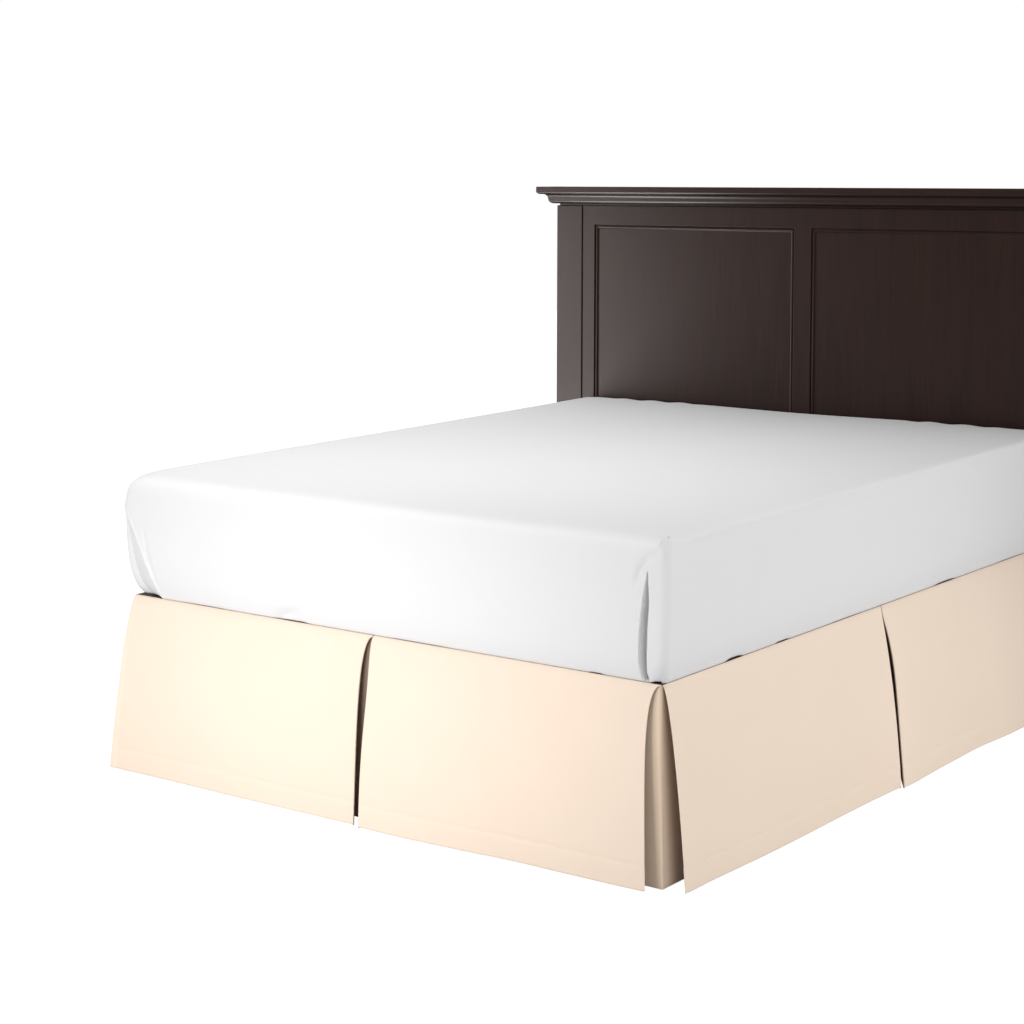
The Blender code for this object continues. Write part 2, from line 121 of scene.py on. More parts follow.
def add_node(tree: Tree, kind: str, inputs: dict | None = None, **settings: object) -> Node:
    """Adds a node with its settings, its values and its links.

    Args:
        tree: Node tree that takes the node.
        kind: Blender's type name of the node.
        inputs: Values, or what to link from, by the input's name or number.
        **settings: Properties of the node itself.

    Returns:
        The new node.
    """
    node = tree.nodes.new(kind)
    for name, value in settings.items():
        setattr(node, name, value)
    set_inputs(tree, node, inputs or {})
    return node


def start_material(name: str, values: dict) -> tuple[Material, Tree, Node]:
    """Makes a material whose shader's constants are already set.

    Args:
        name: Name of the material.
        values: Values of the Principled shader's own sockets.

    Returns:
        The material, its node tree and its Principled shader.
    """
    material = bpy.data.materials.new(name)
    material.use_nodes = True
    tree = material.node_tree
    shader = tree.nodes["Principled BSDF"]
    set_inputs(tree, shader, values)
    return material, tree, shader


def dress(piece: Piece, *materials: Material) -> None:
    """Gives a piece these materials in place of what it had.

    Args:
        piece: The piece.
        *materials: Its materials, by the number that its faces hold.
    """
    numbers = np.zeros(len(piece.data.polygons), np.int32)
    piece.data.polygons.foreach_get("material_index", numbers)
    piece.data.materials.clear()
    for material in materials:
        piece.data.materials.append(material)
    piece.data.polygons.foreach_set("material_index", np.minimum(numbers, len(materials) - 1))


def smooth_step(values: Array, low: float, high: float) -> Array:
    """Rises softly from 0 to 1 as values go from low to high, or falls where high is less."""
    share = np.clip((np.asarray(values, float) - low) / (high - low), 0.0, 1.0)
    return share * share * (3 - 2 * share)


def unit(vectors: Array) -> Array:
    """Scales vectors to length one."""
    return vectors / np.maximum(np.linalg.norm(vectors, axis=-1, keepdims=True), 1e-12)


def run_along(points: Array) -> Array:
    """Measures the way along a row of points, from 0 at the first."""
    return np.concatenate([[0], np.cumsum(np.linalg.norm(np.diff(points, axis=0), axis=1))])


def lay_flat(grid: Array, row: int) -> Array:
    """Lays a grid of cloth flat.

    Args:
        grid: Rows by columns of points.
        row: Row that the columns' places are measured along.

    Returns:
        Distance along that row and down the column of each point, in metres.
    """
    steps = np.linalg.norm(np.diff(grid, axis=0), axis=2)
    down = np.concatenate([np.zeros((1, grid.shape[1])), np.cumsum(steps, axis=0)])
    return np.stack([np.broadcast_to(run_along(grid[row]), down.shape), down], 2)


def number_grid(rows: int, columns: int) -> Array:
    """Numbers the points of a grid, row after row."""
    return np.arange(rows * columns).reshape(rows, columns)


def ring_faces(rings: Array) -> Array:
    """Gives the faces between closed rings of point numbers, ring after ring."""
    ahead = np.roll(rings, -1, axis=1)
    return np.stack([rings[:-1], ahead[:-1], ahead[1:], rings[1:]], -1).reshape(-1, 4)


def rounded_ring(
    low: Array, high: Array, radii: list[float], steps: list[int], shares: list[Array]
) -> tuple[Array, Array]:
    """Walks once round a rectangle with round corners, from its right foot corner.

    Args:
        low: Its left foot corner.
        high: Its right head corner.
        radii: Radius of each corner.
        steps: Steps round each corner.
        shares: Places of the points on the straight stretch after each corner.

    Returns:
        Level points and the directions that they face.
    """
    centres = []
    # Corners 0 and 1 are on the right, 1 and 2 at the head.
    for number, radius in enumerate(radii):
        x = high[0] - radius if number in (0, 1) else low[0] + radius
        y = high[1] - radius if number in (1, 2) else low[1] + radius
        centres.append(np.array([x, y]))
    points, facing = [], []
    for number, count in enumerate(steps):
        angles = np.radians(90 * number - 90 + np.linspace(0, 90, count + 1))
        way = np.stack([np.cos(angles), np.sin(angles)], -1)
        arc, after = centres[number] + radii[number] * way, (number + 1) % 4
        end, share = centres[after] + radii[after] * way[-1], shares[number][:, None]
        points += [arc, arc[-1] * (1 - share) + end * share]
        facing += [way, np.repeat(way[-1:], len(share), 0)]
    return np.concatenate(points), np.concatenate(facing)


def catmull_rom(rows: Array, places: Array) -> Array:
    """Reads a table of rows on a smooth curve through all of them.

    Args:
        rows: Table of at least two rows.
        places: Places to read at, from 0 to the last row's number.

    Returns:
        One row of values for each place.
    """
    last = len(rows) - 1
    index = np.minimum(places.astype(int), last - 1)
    part = (places - index)[:, None]
    a, b = rows[np.maximum(index - 1, 0)], rows[index]
    c, d = rows[index + 1], rows[np.minimum(index + 2, last)]
    pull = 2 * b + (c - a) * part + (2 * a - 5 * b + 4 * c - d) * part**2
    return (pull + (3 * b - a - 3 * c + d) * part**3) / 2


@contextmanager
def editing(mesh: bpy.types.Mesh) -> Iterator[bmesh.types.BMesh]:
    """Opens a mesh for editing and writes it back at the end.

    Args:
        mesh: The mesh.

    Yields:
        The mesh in its editable form.
    """
    edit = bmesh.new()
    edit.from_mesh(mesh)
    yield edit
    edit.to_mesh(mesh)
    edit.free()


def place_object(name: str, data: bpy.types.ID) -> Piece:
    """Links a mesh, light or camera into the scene as an object at the origin.

    Args:
        name: Name of the object.
        data: The mesh, light or camera.

    Returns:
        The new object.
    """
    piece = bpy.data.objects.new(name, data)
    bpy.context.scene.collection.objects.link(piece)
    return piece


def mesh_piece(
    name: str, points: Array, faces: list, flat: Array | None = None, crease: float = 60,
    slots: Array | None = None, wide: float = 1.0,
) -> Piece:
    """Makes a smooth closed piece whose faces point outwards.

    Args:
        name: Name of the piece.
        points: Places of its vertices.
        faces: Vertex numbers of each face.
        flat: Place of each vertex on the cloth when it lies flat, for its weave.
        crease: Angle in degrees past which an edge stays sharp.
        slots: Number of each face's material.
        wide: Length past which a face's shortest edge makes it a flat board face.

    Returns:
        The new object.
    """
    mesh = bpy.data.meshes.new(name)
    mesh.from_pydata(points.tolist(), [], faces)
    if slots is not None:
        mesh.polygons.foreach_set("material_index", slots.astype(np.int32))
    if flat is not None:
        loops = np.empty(len(mesh.loops), np.int32)
        mesh.loops.foreach_get("vertex_index", loops)
        layer = mesh.uv_layers.new(name="flat_cloth")
        layer.data.foreach_set("uv", flat[loops].astype(np.float32).ravel())
    with editing(mesh) as edit:
        bmesh.ops.remove_doubles(edit, verts=edit.verts, dist=0.00002)
        bmesh.ops.recalc_face_normals(edit, faces=edit.faces)
    mesh.shade_smooth()
    mesh.set_sharp_from_angle(angle=radians(crease))
    if wide < 1.0:
        for face in mesh.polygons:
            corners = [mesh.vertices[n].co for n in face.vertices]
            edges = [(a - b).length for a, b in zip(corners, corners[1:] + corners[:1])]
            face.use_smooth = min(edges) < wide
    return place_object(name, mesh)


def finish_piece(piece: Piece, slot: str, *nodes: str) -> None:
    """Rides a piece on the bed, hides the nodes that it stands for and reports it.

    Args:
        piece: The finished piece.
        slot: The record's material slot; not used.
        *nodes: CAD nodes that the piece stands for.
    """
    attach(piece, "root")
    if nodes:
        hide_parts(*nodes)
    piece.data.calc_loop_triangles()
    LOG.info("%s: %d triangles", piece.name, len(piece.data.loop_triangles))


# --------------------------------------------------------------- finishes


@dataclass(frozen=True)
class Finish:
    """What every finish has: its name and two tones of one colour."""

    name: str
    light: str
    dark: str

    def surface(self, tree: Tree, share: Node, height: Node, strength: float, depth: float) -> dict:
        """Draws the two tones and the relief.

        Args:
            tree: The material's node tree.
            share: Share of the light tone.
            height: Height of the relief, from 0 to 1.
            strength: Strength of the relief.
            depth: Depth of the relief, in metres.

        Returns:
            Inputs for the shader.
        """
        tones = {0: share, 6: linear(self.dark), 7: linear(self.light)}
        relief = {"Strength": strength, "Distance": depth, "Height": height}
        colour = add_node(tree, MIX, tones, data_type="RGBA").outputs[2]
        return {"Base Color": colour, "Normal": add_node(tree, "ShaderNodeBump", relief)}

    def streaks(self, tree: Tree, place: Socket, scale: Point, detail: float) -> Node:
        """Draws noise stretched along yarn or grain, with so many repeats a metre on each axis."""
        place = add_node(tree, MAPPING, {"Vector": place, "Scale": scale})
        return add_node(tree, NOISE, {"Vector": place, "Scale": 1.0, "Detail": detail})


@dataclass(frozen=True)
class WovenCotton(Finish):
    """A cloth woven from cotton yarn, with its weave drawn on the flat cloth."""

    roughness: float
    sheen: float
    yarn: float
    relief: float
    twill: bool = False

    def material(self) -> Material:
        """Builds the material.

        Returns:
            Cloth with soft colour variation, a fine weave and slubs along the warp.
        """
        values = {"Roughness": self.roughness, "Sheen Weight": self.sheen, "Sheen Roughness": 0.5}
        values["Specular IOR Level"] = 0.25
        material, tree, shader = start_material(self.name, values)
        flat = add_node(tree, "ShaderNodeUVMap", uv_map="flat_cloth").outputs["UV"]
        # Slubs are streaks about 3 mm wide and 90 mm long. Handling leaves clouds about
        # 150 mm across.
        slubs = self.streaks(tree, flat, (330, 11, 1), 3.0)
        clouds = add_node(tree, NOISE, {"Vector": flat, "Scale": 7.0, "Detail": 2.0})
        tone = add_node(tree, MIX, {0: 0.5, 2: slubs, 3: clouds}, data_type="FLOAT")
        surface = self.surface(tree, tone, self.weave(tree, flat), 0.55, self.relief)
        set_inputs(tree, shader, surface)
        return material

    def weave(self, tree: Tree, flat: Socket) -> Node:
        """Draws warp and weft as two sets of ridges.

        Args:
            tree: The material's node tree.
            flat: Place on the flat cloth.

        Returns:
            The height, from 0 to 1.
        """
        # A wave band repeats every 2 pi / 20 of its vector, so this gives one a yarn.
        waves = {"Scale": 2 * pi / (20 * self.yarn), "Distortion": 0.4, "Detail": 1.0}
        turn = {"Vector": flat, "Rotation": (0, 0, radians(63 if self.twill else 0))}
        ridges = []
        for axis, place in (("X", add_node(tree, MAPPING, turn)), ("Y", flat)):
            wave = {"Vector": place, **waves}
            ridges.append(add_node(tree, "ShaderNodeTexWave", wave, bands_direction=axis))
        heights = {n: ridge.outputs["Fac"] for n, ridge in enumerate(ridges)}
        return add_node(tree, MATH, heights, operation="MULTIPLY")


@dataclass(frozen=True)
class StainedWood(Finish):
    """Close-grained wood, stained espresso and rubbed with a satin lacquer."""

    light: str = "#2d1b16"
    dark: str = "#221410"
    roughness: float = 0.34
    specular: float = 0.22
    upright: bool = True

    def material(self) -> Material:
        """Builds the material.

        Returns:
            Wood whose grain runs up or across the piece, with pores and soft figure.
        """
        values = {"Specular IOR Level": self.specular, "Specular Tint": linear("#fff8f4")}
        material, tree, shader = start_material(self.name, values)
        place = add_node(tree, "ShaderNodeTexCoord").outputs["Object"]
        # Grain lines are about 2 mm wide and 150 mm long, broad figure 60 by 500 mm.
        noises = []
        for scale, detail in (((500, 60, 6.5), 4.0), ((16, 4, 2), 2.0), ((1500, 200, 55), 1.0)):
            scale = scale if self.upright else scale[::-1]
            noises.append(self.streaks(tree, place, scale, detail))
        grain, figure, pores = noises
        both = add_node(tree, MIX, {0: 0.35, 2: grain, 3: figure}, data_type="FLOAT")
        tone = add_node(tree, RANGE, {"Value": both, "From Min": 0.36, "From Max": 0.64})
        height = add_node(tree, MIX, {0: 0.5, 2: grain, 3: pores}, data_type="FLOAT")
        rough = {"Value": grain, "To Min": self.roughness - 0.05, "To Max": self.roughness + 0.07}
        inputs = self.surface(tree, tone, height, 0.35, 0.00025)
        set_inputs(tree, shader, inputs | {"Roughness": add_node(tree, RANGE, rough)})
        return material


@dataclass(frozen=True)
class CoatedSteel(Finish):
    """Rolled steel angle with a black powder coat, and nylon glides at the floor."""

    name: str = "powder_coated_steel"
    light: str = "#232326"
    dark: str = "#141414"
    glide_top: float = 0.019

    def material(self) -> Material:
        """Builds the material.

        Returns:
            A satin black coat with orange peel and patchy dust, and darker glides at the floor.
        """
        values = {"Metallic": 0.0, "Coat Weight": 0.15, "Coat Roughness": 0.3}
        material, tree, shader = start_material(self.name, values)
        place = add_node(tree, "ShaderNodeTexCoord").outputs["Object"]
        height = add_node(tree, "ShaderNodeSeparateXYZ", {0: place}).outputs["Z"]
        coat = add_node(tree, MATH, {0: height, 1: self.glide_top}, operation="GREATER_THAN")
        dust = add_node(tree, NOISE, {"Vector": place, "Scale": 22.0, "Detail": 5.0})
        rough = add_node(tree, RANGE, {"Value": dust, "To Min": 0.34, "To Max": 0.62})
        # Orange peel of a powder coat is about 1.5 mm across.
        peel = add_node(tree, NOISE, {"Vector": place, "Scale": 650.0, "Detail": 1.0})
        inputs = self.surface(tree, coat, peel, 0.3, 0.0002)
        set_inputs(tree, shader, inputs | {"Roughness": rough})
        return material


@dataclass(frozen=True)
class Finishes:
    """Every finish of the bed, built once."""

    skirt: Material
    skirt_painted_shade: Material
    underlay: Material
    deck: Material
    sheet: Material
    base: Material
    ticking: Material
    thread: Material
    steel: Material
    wood_upright: Material
    wood_across: Material

    @classmethod
    def build(cls) -> "Finishes":
        """Builds the materials of the cloths, the thread, the steel and the wood.

        Returns:
            All the finishes.
        """
        # Each cloth: its tones, roughness, sheen, distance between yarns and relief.
        finishes = (
            # Cotton sateen: long floats give the skirt a soft, even glow. The yarns are
            # 0.25 mm apart, drawn 0.9 mm apart so that a close look shows them.
            WovenCotton("cotton_sateen", "#eedccb", "#ead6c3", 0.62, 0.10, 0.0009, 0.00012, True),
            # The skirt's back and pleat interiors: dull like the sateen's wrong side, their much deeper
            # tone painted shade.
            WovenCotton("sateen_painted_shade", "#ae998a", "#a39080", 0.85, 0.0, 0.0009, 0.00012),
            # The underlay's sateen: the same cloth, its deeper tone painted shade for the cavity
            # between the panels.
            WovenCotton("sateen_underlay_painted_shade", "#e5cfb9", "#dfc8b0", 0.62, 0.08, 0.0009, 0.00012, True),
            # Cotton muslin, flat and dry, in a dark tone that is painted shade, so the slits
            # under the sheet read black. Its plain weave of 0.5 mm is drawn 1.2 mm.
            WovenCotton("muslin_painted_shade", "#554d45", "#4b443d", 0.90, 0.0, 0.0012, 0.00015),
            # Cotton percale: crisp white with a fine matt plain weave, drawn 0.8 mm.
            WovenCotton("cotton_percale", "#e1e1e2", "#dfdfe0", 0.75, 0.08, 0.0008, 0.00008),
            # Dotted non-slip cloth under the mattress, its near black painted shade, so its gaps read
            # dark.
            WovenCotton("base_cloth_painted_shade", "#2a2a2c", "#222224", 0.90, 0.0, 0.0020, 0.0003),
            # Woven polyester ticking: a pale grey cover with a 2 mm rib.
            WovenCotton("woven_ticking", "#cfcac2", "#bcb6ad", 0.80, 0.05, 0.0020, 0.0003),
            # Spun polyester thread: the cloth's colour, a little shinier.
            WovenCotton("spun_thread", "#ecd9c6", "#e6d1bd", 0.50, 0.10, 0.0004, 0.00005),
            CoatedSteel(),
            StainedWood("stained_birch_upright"),
            StainedWood("stained_birch_across", upright=False),
        )
        return cls(*[finish.material() for finish in finishes])


@dataclass(frozen=True)
class Assembly:
    """A sub-assembly of the bed, with the finishes that it is dressed in."""

    finishes: Finishes


# ------------------------------------------------------------ cloth shells


@dataclass(frozen=True)
class ClothShell:
    """Gives a grid of points the thickness of cloth, with rounded rims."""

    thickness: float = CLOTH
    rim_turns: tuple[float, ...] = (45.0, 0.0, -45.0)

    def tangent(self, grid: Array, axis: int) -> Array:
        """Averages the directions before and after each point.

        Args:
            grid: Rows by columns of points.
            axis: 0 down the rows, 1 along the columns.

        Returns:
            Unit vectors.
        """
        steps = unit(np.diff(grid, axis=axis))
        first, last = np.take(steps, [0], axis), np.take(steps, [-1], axis)
        return unit(np.concatenate([first, steps], axis) + np.concatenate([steps, last], axis))

    def normals(self, grid: Array) -> tuple[Array, Array, Array]:
        """Gives a grid's unit vectors along the columns, down the rows and across."""
        along, down = self.tangent(grid, 1), self.tangent(grid, 0)
        return along, down, unit(np.cross(along, down))

    def build(self, name: str, grid: Array, hem: Array | float = 0.0, inside: Array | int = 0) -> Piece:
        """Makes the cloth, with painted shade in the second material on its back and its folded-in
        faces.

        Args:
            name: Name of the piece.
            grid: Rows by columns of points through the middle of the cloth.
            hem: How much thicker the back is at each point.
            inside: 1 for each column of faces that is folded in, and so takes the painted shade.

        Returns:
            The new object.
        """
        rows, columns = grid.shape[:2]
        along, down, across = self.normals(grid)
        half = self.thickness / 2
        behind = np.zeros((rows, columns)) + half + hem
        front = (grid + across * half).reshape(-1, 3)
        back = (grid - across * behind[..., None]).reshape(-1, 3)
        outward = np.zeros_like(grid)
        outward[0] -= down[0]
        outward[-1] += down[-1]
        outward[:, 0] -= along[:, 0]
        outward[:, -1] += along[:, -1]
        numbers = number_grid(rows, columns)
        sides = (numbers[0, :-1], numbers[:-1, -1], numbers[-1, :0:-1], numbers[:0:-1, 0])
        border = np.concatenate(sides)
        away = unit(outward.reshape(-1, 3)[border])
        middle = (front[border] + back[border]) / 2
        wide = (front[border] - back[border]) / 2
        rims = [middle + wide * sin(a) + away * half * cos(a) for a in map(radians, self.rim_turns)]
        rim_numbers = number_grid(len(rims), len(border)) + 2 * rows * columns
        loops = np.array([border, *rim_numbers, border + rows * columns])
        fronts = np.stack([numbers[:-1, :-1], numbers[:-1, 1:], numbers[1:, 1:], numbers[1:, :-1]], -1)
        fronts = fronts.reshape(-1, 4)
        faces = [fronts, fronts[:, ::-1] + rows * columns, ring_faces(loops)[:, [0, 3, 2, 1]]]
        slots = np.repeat([0, 1, 0], [len(part) for part in faces])
        slots[: len(fronts)].reshape(rows - 1, -1)[:] = inside
        flat = lay_flat(grid, rows // 2).reshape(-1, 2)
        flat = np.concatenate([flat, flat, *[flat[border]] * len(rims)])
        points = np.concatenate([front, back, *rims])
        return mesh_piece(name, points, np.concatenate(faces).tolist(), flat, slots=slots)


@dataclass(frozen=True)
class StitchRow:
    """A row of stitches laid along a path by Geometry Nodes."""

    pitch: float = 0.0038
    length: float = 0.0030
    radius: float = 0.00028

    def tree(self) -> Tree:
        """Builds the node tree that lays the stitches.

        Returns:
            The tree, with the path, the sizes and the thread as named inputs.
        """
        tree = bpy.data.node_groups.new("stitch_row", "GeometryNodeTree")
        kinds = {"Path": "Geometry", "Pitch": "Float", "Length": "Float", "Radius": "Float"}
        for label, kind in (kinds | {"Thread": "Material"}).items():
            tree.interface.new_socket(label, in_out="INPUT", socket_type="NodeSocket" + kind)
        tree.interface.new_socket("Stitches", in_out="OUTPUT", socket_type="NodeSocketGeometry")
        given = add_node(tree, "NodeGroupInput").outputs
        path = add_node(tree, "GeometryNodeMeshToCurve", {"Mesh": given["Path"]})
        gaps = {"Curve": path, "Length": given["Pitch"]}
        spaced = add_node(tree, "GeometryNodeResampleCurve", gaps, mode="LENGTH")
        half = add_node(tree, MATH, {0: given["Length"], 1: 0.5}, operation="MULTIPLY")
        sizes = {"X": given["Radius"], "Y": given["Radius"], "Z": half}
        size = add_node(tree, "ShaderNodeCombineXYZ", sizes)
        ball = {"Segments": 6, "Rings": 5, "Radius": 1.0}
        bead = add_node(tree, "GeometryNodeMeshUVSphere", ball)
        stitch = add_node(tree, "GeometryNodeTransform", {"Geometry": bead, "Scale": size})
        heading = {"Vector": add_node(tree, "GeometryNodeInputTangent")}
        turn = add_node(tree, "FunctionNodeAlignRotationToVector", heading, axis="Z")
        laid = {"Points": spaced, "Instance": stitch, "Rotation": turn}
        row = add_node(tree, "GeometryNodeInstanceOnPoints", laid)
        real = add_node(tree, "GeometryNodeRealizeInstances", {0: row})
        smooth = add_node(tree, "GeometryNodeSetShadeSmooth", {0: real})
        dyed = {"Geometry": smooth, "Material": given["Thread"]}
        add_node(tree, "NodeGroupOutput", {0: add_node(tree, "GeometryNodeSetMaterial", dyed)})
        return tree

    def lay(self, name: str, path: Array, thread: Material) -> Piece:
        """Lays the stitches and turns them into a plain mesh.

        Args:
            name: Name of the piece.
            path: Points that the stitches follow.
            thread: Material of the thread.

        Returns:
            The row of stitches.
        """
        line = bpy.data.meshes.new(name + "_path")
        line.from_pydata(path.tolist(), [(n, n + 1) for n in range(len(path) - 1)], [])
        guide = place_object(name + "_guide", line)
        modifier = guide.modifiers.new("stitches", "NODES")
        modifier.node_group = self.tree()
        sockets = {s.name: s.identifier for s in modifier.node_group.interface.items_tree}
        modifier[sockets["Pitch"]] = self.pitch
        modifier[sockets["Length"]] = self.length
        modifier[sockets["Radius"]] = self.radius
        modifier[sockets["Thread"]] = thread
        graph = bpy.context.evaluated_depsgraph_get()
        mesh = bpy.data.meshes.new_from_object(guide.evaluated_get(graph))
        guide.modifiers.remove(modifier)
        bpy.data.objects.remove(guide)
        mesh.name = name
        if not mesh.uv_layers:
            mesh.uv_layers.new()
        mesh.uv_layers[0].name = "flat_cloth"
        return place_object(name, mesh)


# --------------------------------------------------------------- the skirt


class Placement(Enum):
    """The edge of the bed that a drop hangs from."""

    FOOT = "foot"
    LEFT = "left"
    RIGHT = "right"

    def place(self, local: Array) -> Array:
        """Places a drop's points in the shared frame.

        Args:
            local: Points given as along the edge, out from it and height.

        Returns:
            The same points in the shared frame.
        """
        along, out, height = np.moveaxis(local, -1, 0)
        if self is Placement.FOOT:
            return np.stack([along, -HALF_LENGTH - out, height], -1)
        side = 1 if self is Placement.RIGHT else -1
        return np.stack([side * (HALF_WIDTH + out), along, height], -1)


@dataclass(frozen=True)
class Panel:
    """One flat front panel of a drop.

    Sections hold the place at the top edge and at the hem, the flare and the
    height of the hem. Waves hold a place along the panel as a share, a width
    and a height in millimetres. The bows move the panel's two ends, most at the
    share bow_at of the drop, and lens opens the pleat beside its first end.
    """

    sections: Table
    waves: Table
    start_bow: float = 0.0
    end_bow: float = 0.0
    lens: float = 0.0
    groove: float = 0.0004
    spacing: float = 0.0075
    hem: float = 0.050
    bow_at: float = 0.2
    # Powers: how fast a move of an end fades along the panel, and how the hem's shift,
    # the flare, the waves and the lens grow downwards.
    fading, shifting, flaring, waving, opening = 7, 1.5, 0.62, 0.8, 0.55

    @property
    def width(self) -> float:
        """The panel's width at its top edge."""
        return abs(self.sections[-1][0] - self.sections[0][0])

    def shares(self) -> Array:
        """Spreads columns along the panel, closer together near its two ends."""
        even = np.linspace(0, 1, round(self.width / self.spacing) + 1)
        return 0.6 * even + 0.4 * ((1 - np.cos(pi * even)) / 2)

    def points(self, drops: Array) -> Array:
        """Gives the panel's points.

        Args:
            drops: Shares of the drop, one for each row.

        Returns:
            Rows by columns of points, each as along, out and height.
        """
        shares = self.shares()
        table = np.array(self.sections)
        top, hem, flare, lift = catmull_rom(table, shares * (len(table) - 1)).T
        drop = np.asarray(drops)[:, None]
        bow = np.zeros_like(drop)
        inside = (drop > 0) & (drop < 1)
        bow[inside] = np.sin(pi * drop[inside] ** (log(0.5) / log(self.bow_at)))
        start, end = (1 - shares) ** self.fading, shares**self.fading
        along = top + (hem - top) * drop**self.shifting
        along = along + self.start_bow * bow * start + self.end_bow * bow * end
        along = along + self.lens * np.sin(pi * drop**self.opening) ** 3 * start
        out = FACE_OFFSET + flare * drop**self.flaring + self.swell(shares, drop, lift)
        height = SKIRT_TOP + (lift - SKIRT_TOP) * drop
        return np.stack(np.broadcast_arrays(along, out, height), -1)

    def swell(self, shares: Array, drop: Array, lift: Array) -> Array:
        """Gives how far the cloth stands proud: its slack waves and its hem.

        Args:
            shares: Places along the panel.
            drop: Shares of the drop, as a column.
            lift: Height of the hem at each place.

        Returns:
            Distances, rows by columns.
        """
        ends = smooth_step(np.minimum(shares, 1 - shares) * self.width, 0.004, 0.05)
        total = np.zeros(np.broadcast_shapes(drop.shape, shares.shape))
        for place, spread, height in self.waves:
            ridge = np.exp(-(((shares - place) * self.width * 1000 / spread) ** 2))
            total = total + ridge * height / 1000 * drop**self.waving
        above = (1 - drop) * (SKIRT_TOP - lift)
        band = 0.0004 * smooth_step(above, self.hem, self.hem - 0.012)
        groove = self.groove * np.exp(-(((above - self.hem) / 0.0045) ** 2))
        return (total + band - groove) * ends


@dataclass(frozen=True)
class SkirtDrop(Assembly):
    """One drop of the skirt: a single cloth with an inverted box pleat.

    Near and far are the panels before and after the pleat, whose underlay has its own
    flare and hem. Bend is how far from a fold's corner the cloth starts to turn.
    """

    name: str
    placement: Placement
    near: Panel
    far: Panel
    underlay_flare: float
    flat: tuple[float, float]
    pleat_hem: float = 0.011
    half_pleat: float = 0.075
    bend: float = 0.00143
    hem_line_at: float = 1 - Panel.hem / (SKIRT_TOP - LOWEST_HEM)
    # Columns on the straight stretch that ends at each numbered corner of the pleat, and
    # places of those round each of its eight corners.
    stretches = {3: 12, 5: 22, 7: 12}
    bends = (0.0, 0.25, 0.5, 0.75, 1.0)

    def pleat_painted_shade_columns(self, columns: int) -> Array:
        """Tells which columns of faces lie inside the pleat, where shade is painted.

        Args:
            columns: Columns of points.

        Returns:
            1 for a column of faces inside the pleat, which takes the painted shade, 0 for the others.
        """
        start, bend = len(self.near.shares()) - 1, len(self.bends)
        count = 8 * bend + sum(self.stretches.values())
        inside = np.zeros(columns - 1, np.int32)
        inside[start + bend - 1 : start + count - bend] = 1
        return inside

    def drops(self) -> Array:
        """Spreads rows down the cloth, closer at the top and round the hem line.

        Returns:
            Shares of the drop, from 0 at the top to 1.
        """
        line = self.hem_line_at
        upper = line * (np.arange(46) / 46) ** 1.25 * 0.965
        around = np.linspace(line * 0.965, min(line * 1.04, 1), 12)
        below = np.linspace(line * 1.04, 1, 10)[1:]
        return np.concatenate([upper, around, below])

    def corners(self, near: Array, far: Array, drop: Array) -> list[Array]:
        """Gives the eight corners of the box pleat's folds in each row.

        Args:
            near: Last point of the near panel in each row.
            far: First point of the far panel in each row.
            drop: Shares of the drop.

        Returns:
            Eight arrays of points.
        """
        middle = (near[:, 0] + far[:, 0]) / 2
        under = FACE_OFFSET - 2 * LAYER + self.underlay_flare * drop**0.7
        fold = HIDDEN_TOP + (near[:, 2] - SKIRT_TOP)
        back = HIDDEN_TOP + (self.pleat_hem - HIDDEN_TOP) * drop
        rows = (
            (near[:, 0], near[:, 1], fold),
            (near[:, 0], near[:, 1] - LAYER, fold),
            (middle - self.half_pleat, under + LAYER, back),
            (middle - self.half_pleat, under, back),
            (middle + self.half_pleat, under, back),
            (middle + self.half_pleat, under + LAYER, back),
            (far[:, 0], far[:, 1] - LAYER, fold),
            (far[:, 0], far[:, 1], fold),
        )
        return [np.stack(row, -1) for row in rows]

    def local(self, drops: Array) -> Array:
        """Gives the whole drop's points: a panel, the pleat and a panel.

        Args:
            drops: Shares of the drop, one for each row.

        Returns:
            Rows by columns of points, each as along, out and height.
        """
        near, far = self.near.points(drops), self.far.points(drops)
        chain = [near[:, -2], *self.corners(near[:, -1], far[:, 0], drops), far[:, 1]]
        columns = [near[:, n] for n in range(near.shape[1] - 1)]
        for number, (before, corner, after) in enumerate(zip(chain, chain[1:], chain[2:]), 1):
            first = corner + unit(before - corner) * self.bend
            last = corner + unit(after - corner) * self.bend
            start, count = columns[-1], self.stretches.get(number, 0)
            for step in np.linspace(0, 1, count + 2)[1:-1]:
                columns.append(start + (first - start) * step)
            for part in self.bends:
                bend = first * (1 - part) ** 2 + corner * 2 * part * (1 - part) + last * part**2
                columns.append(bend)
        columns += [far[:, n] for n in range(1, far.shape[1])]
        return np.stack(columns, 1)

    def hem_line(self) -> Array:
        """Gives the path of the hem's stitches, just proud of the cloth's face.

        Returns:
            Points along the path.
        """
        drops = self.hem_line_at + np.array([-0.003, 0, 0.003])
        grid = self.placement.place(self.local(drops))
        across = ClothShell().normals(grid)[2]
        outward = np.diff(self.placement.place(np.array([[0, 0.0, 0], [0, 1.0, 0]])), axis=0)
        side = np.sign(np.sum(across[1, 3] * outward))
        return grid[1] + side * across[1] * (CLOTH / 2 + 0.0001)

    def build(self) -> None:
        """Makes the drop and its stitches."""
        local = self.local(self.drops())
        grid = self.placement.place(local)
        above = local[..., 2] - LOWEST_HEM
        inside = self.pleat_painted_shade_columns(grid.shape[1])
        if self.placement is not Placement.LEFT:
            grid, above, inside = grid[:, ::-1], above[:, ::-1], inside[::-1]
        hem = 0.0008 * smooth_step(above, Panel.hem + 0.001, Panel.hem - 0.001)
        piece = ClothShell().build(self.name + "_cloth", grid, hem, inside)
        # The back and the pleat's inner faces take the painted shade of the second material.
        dress(piece, self.finishes.skirt, self.finishes.skirt_painted_shade)
        stitches = StitchRow().lay(self.name + "_hem_stitches", self.hem_line(), self.finishes.thread)
        finish_piece(piece, "skirt_cloth", self.name)
        finish_piece(stitches, "skirt_cloth")


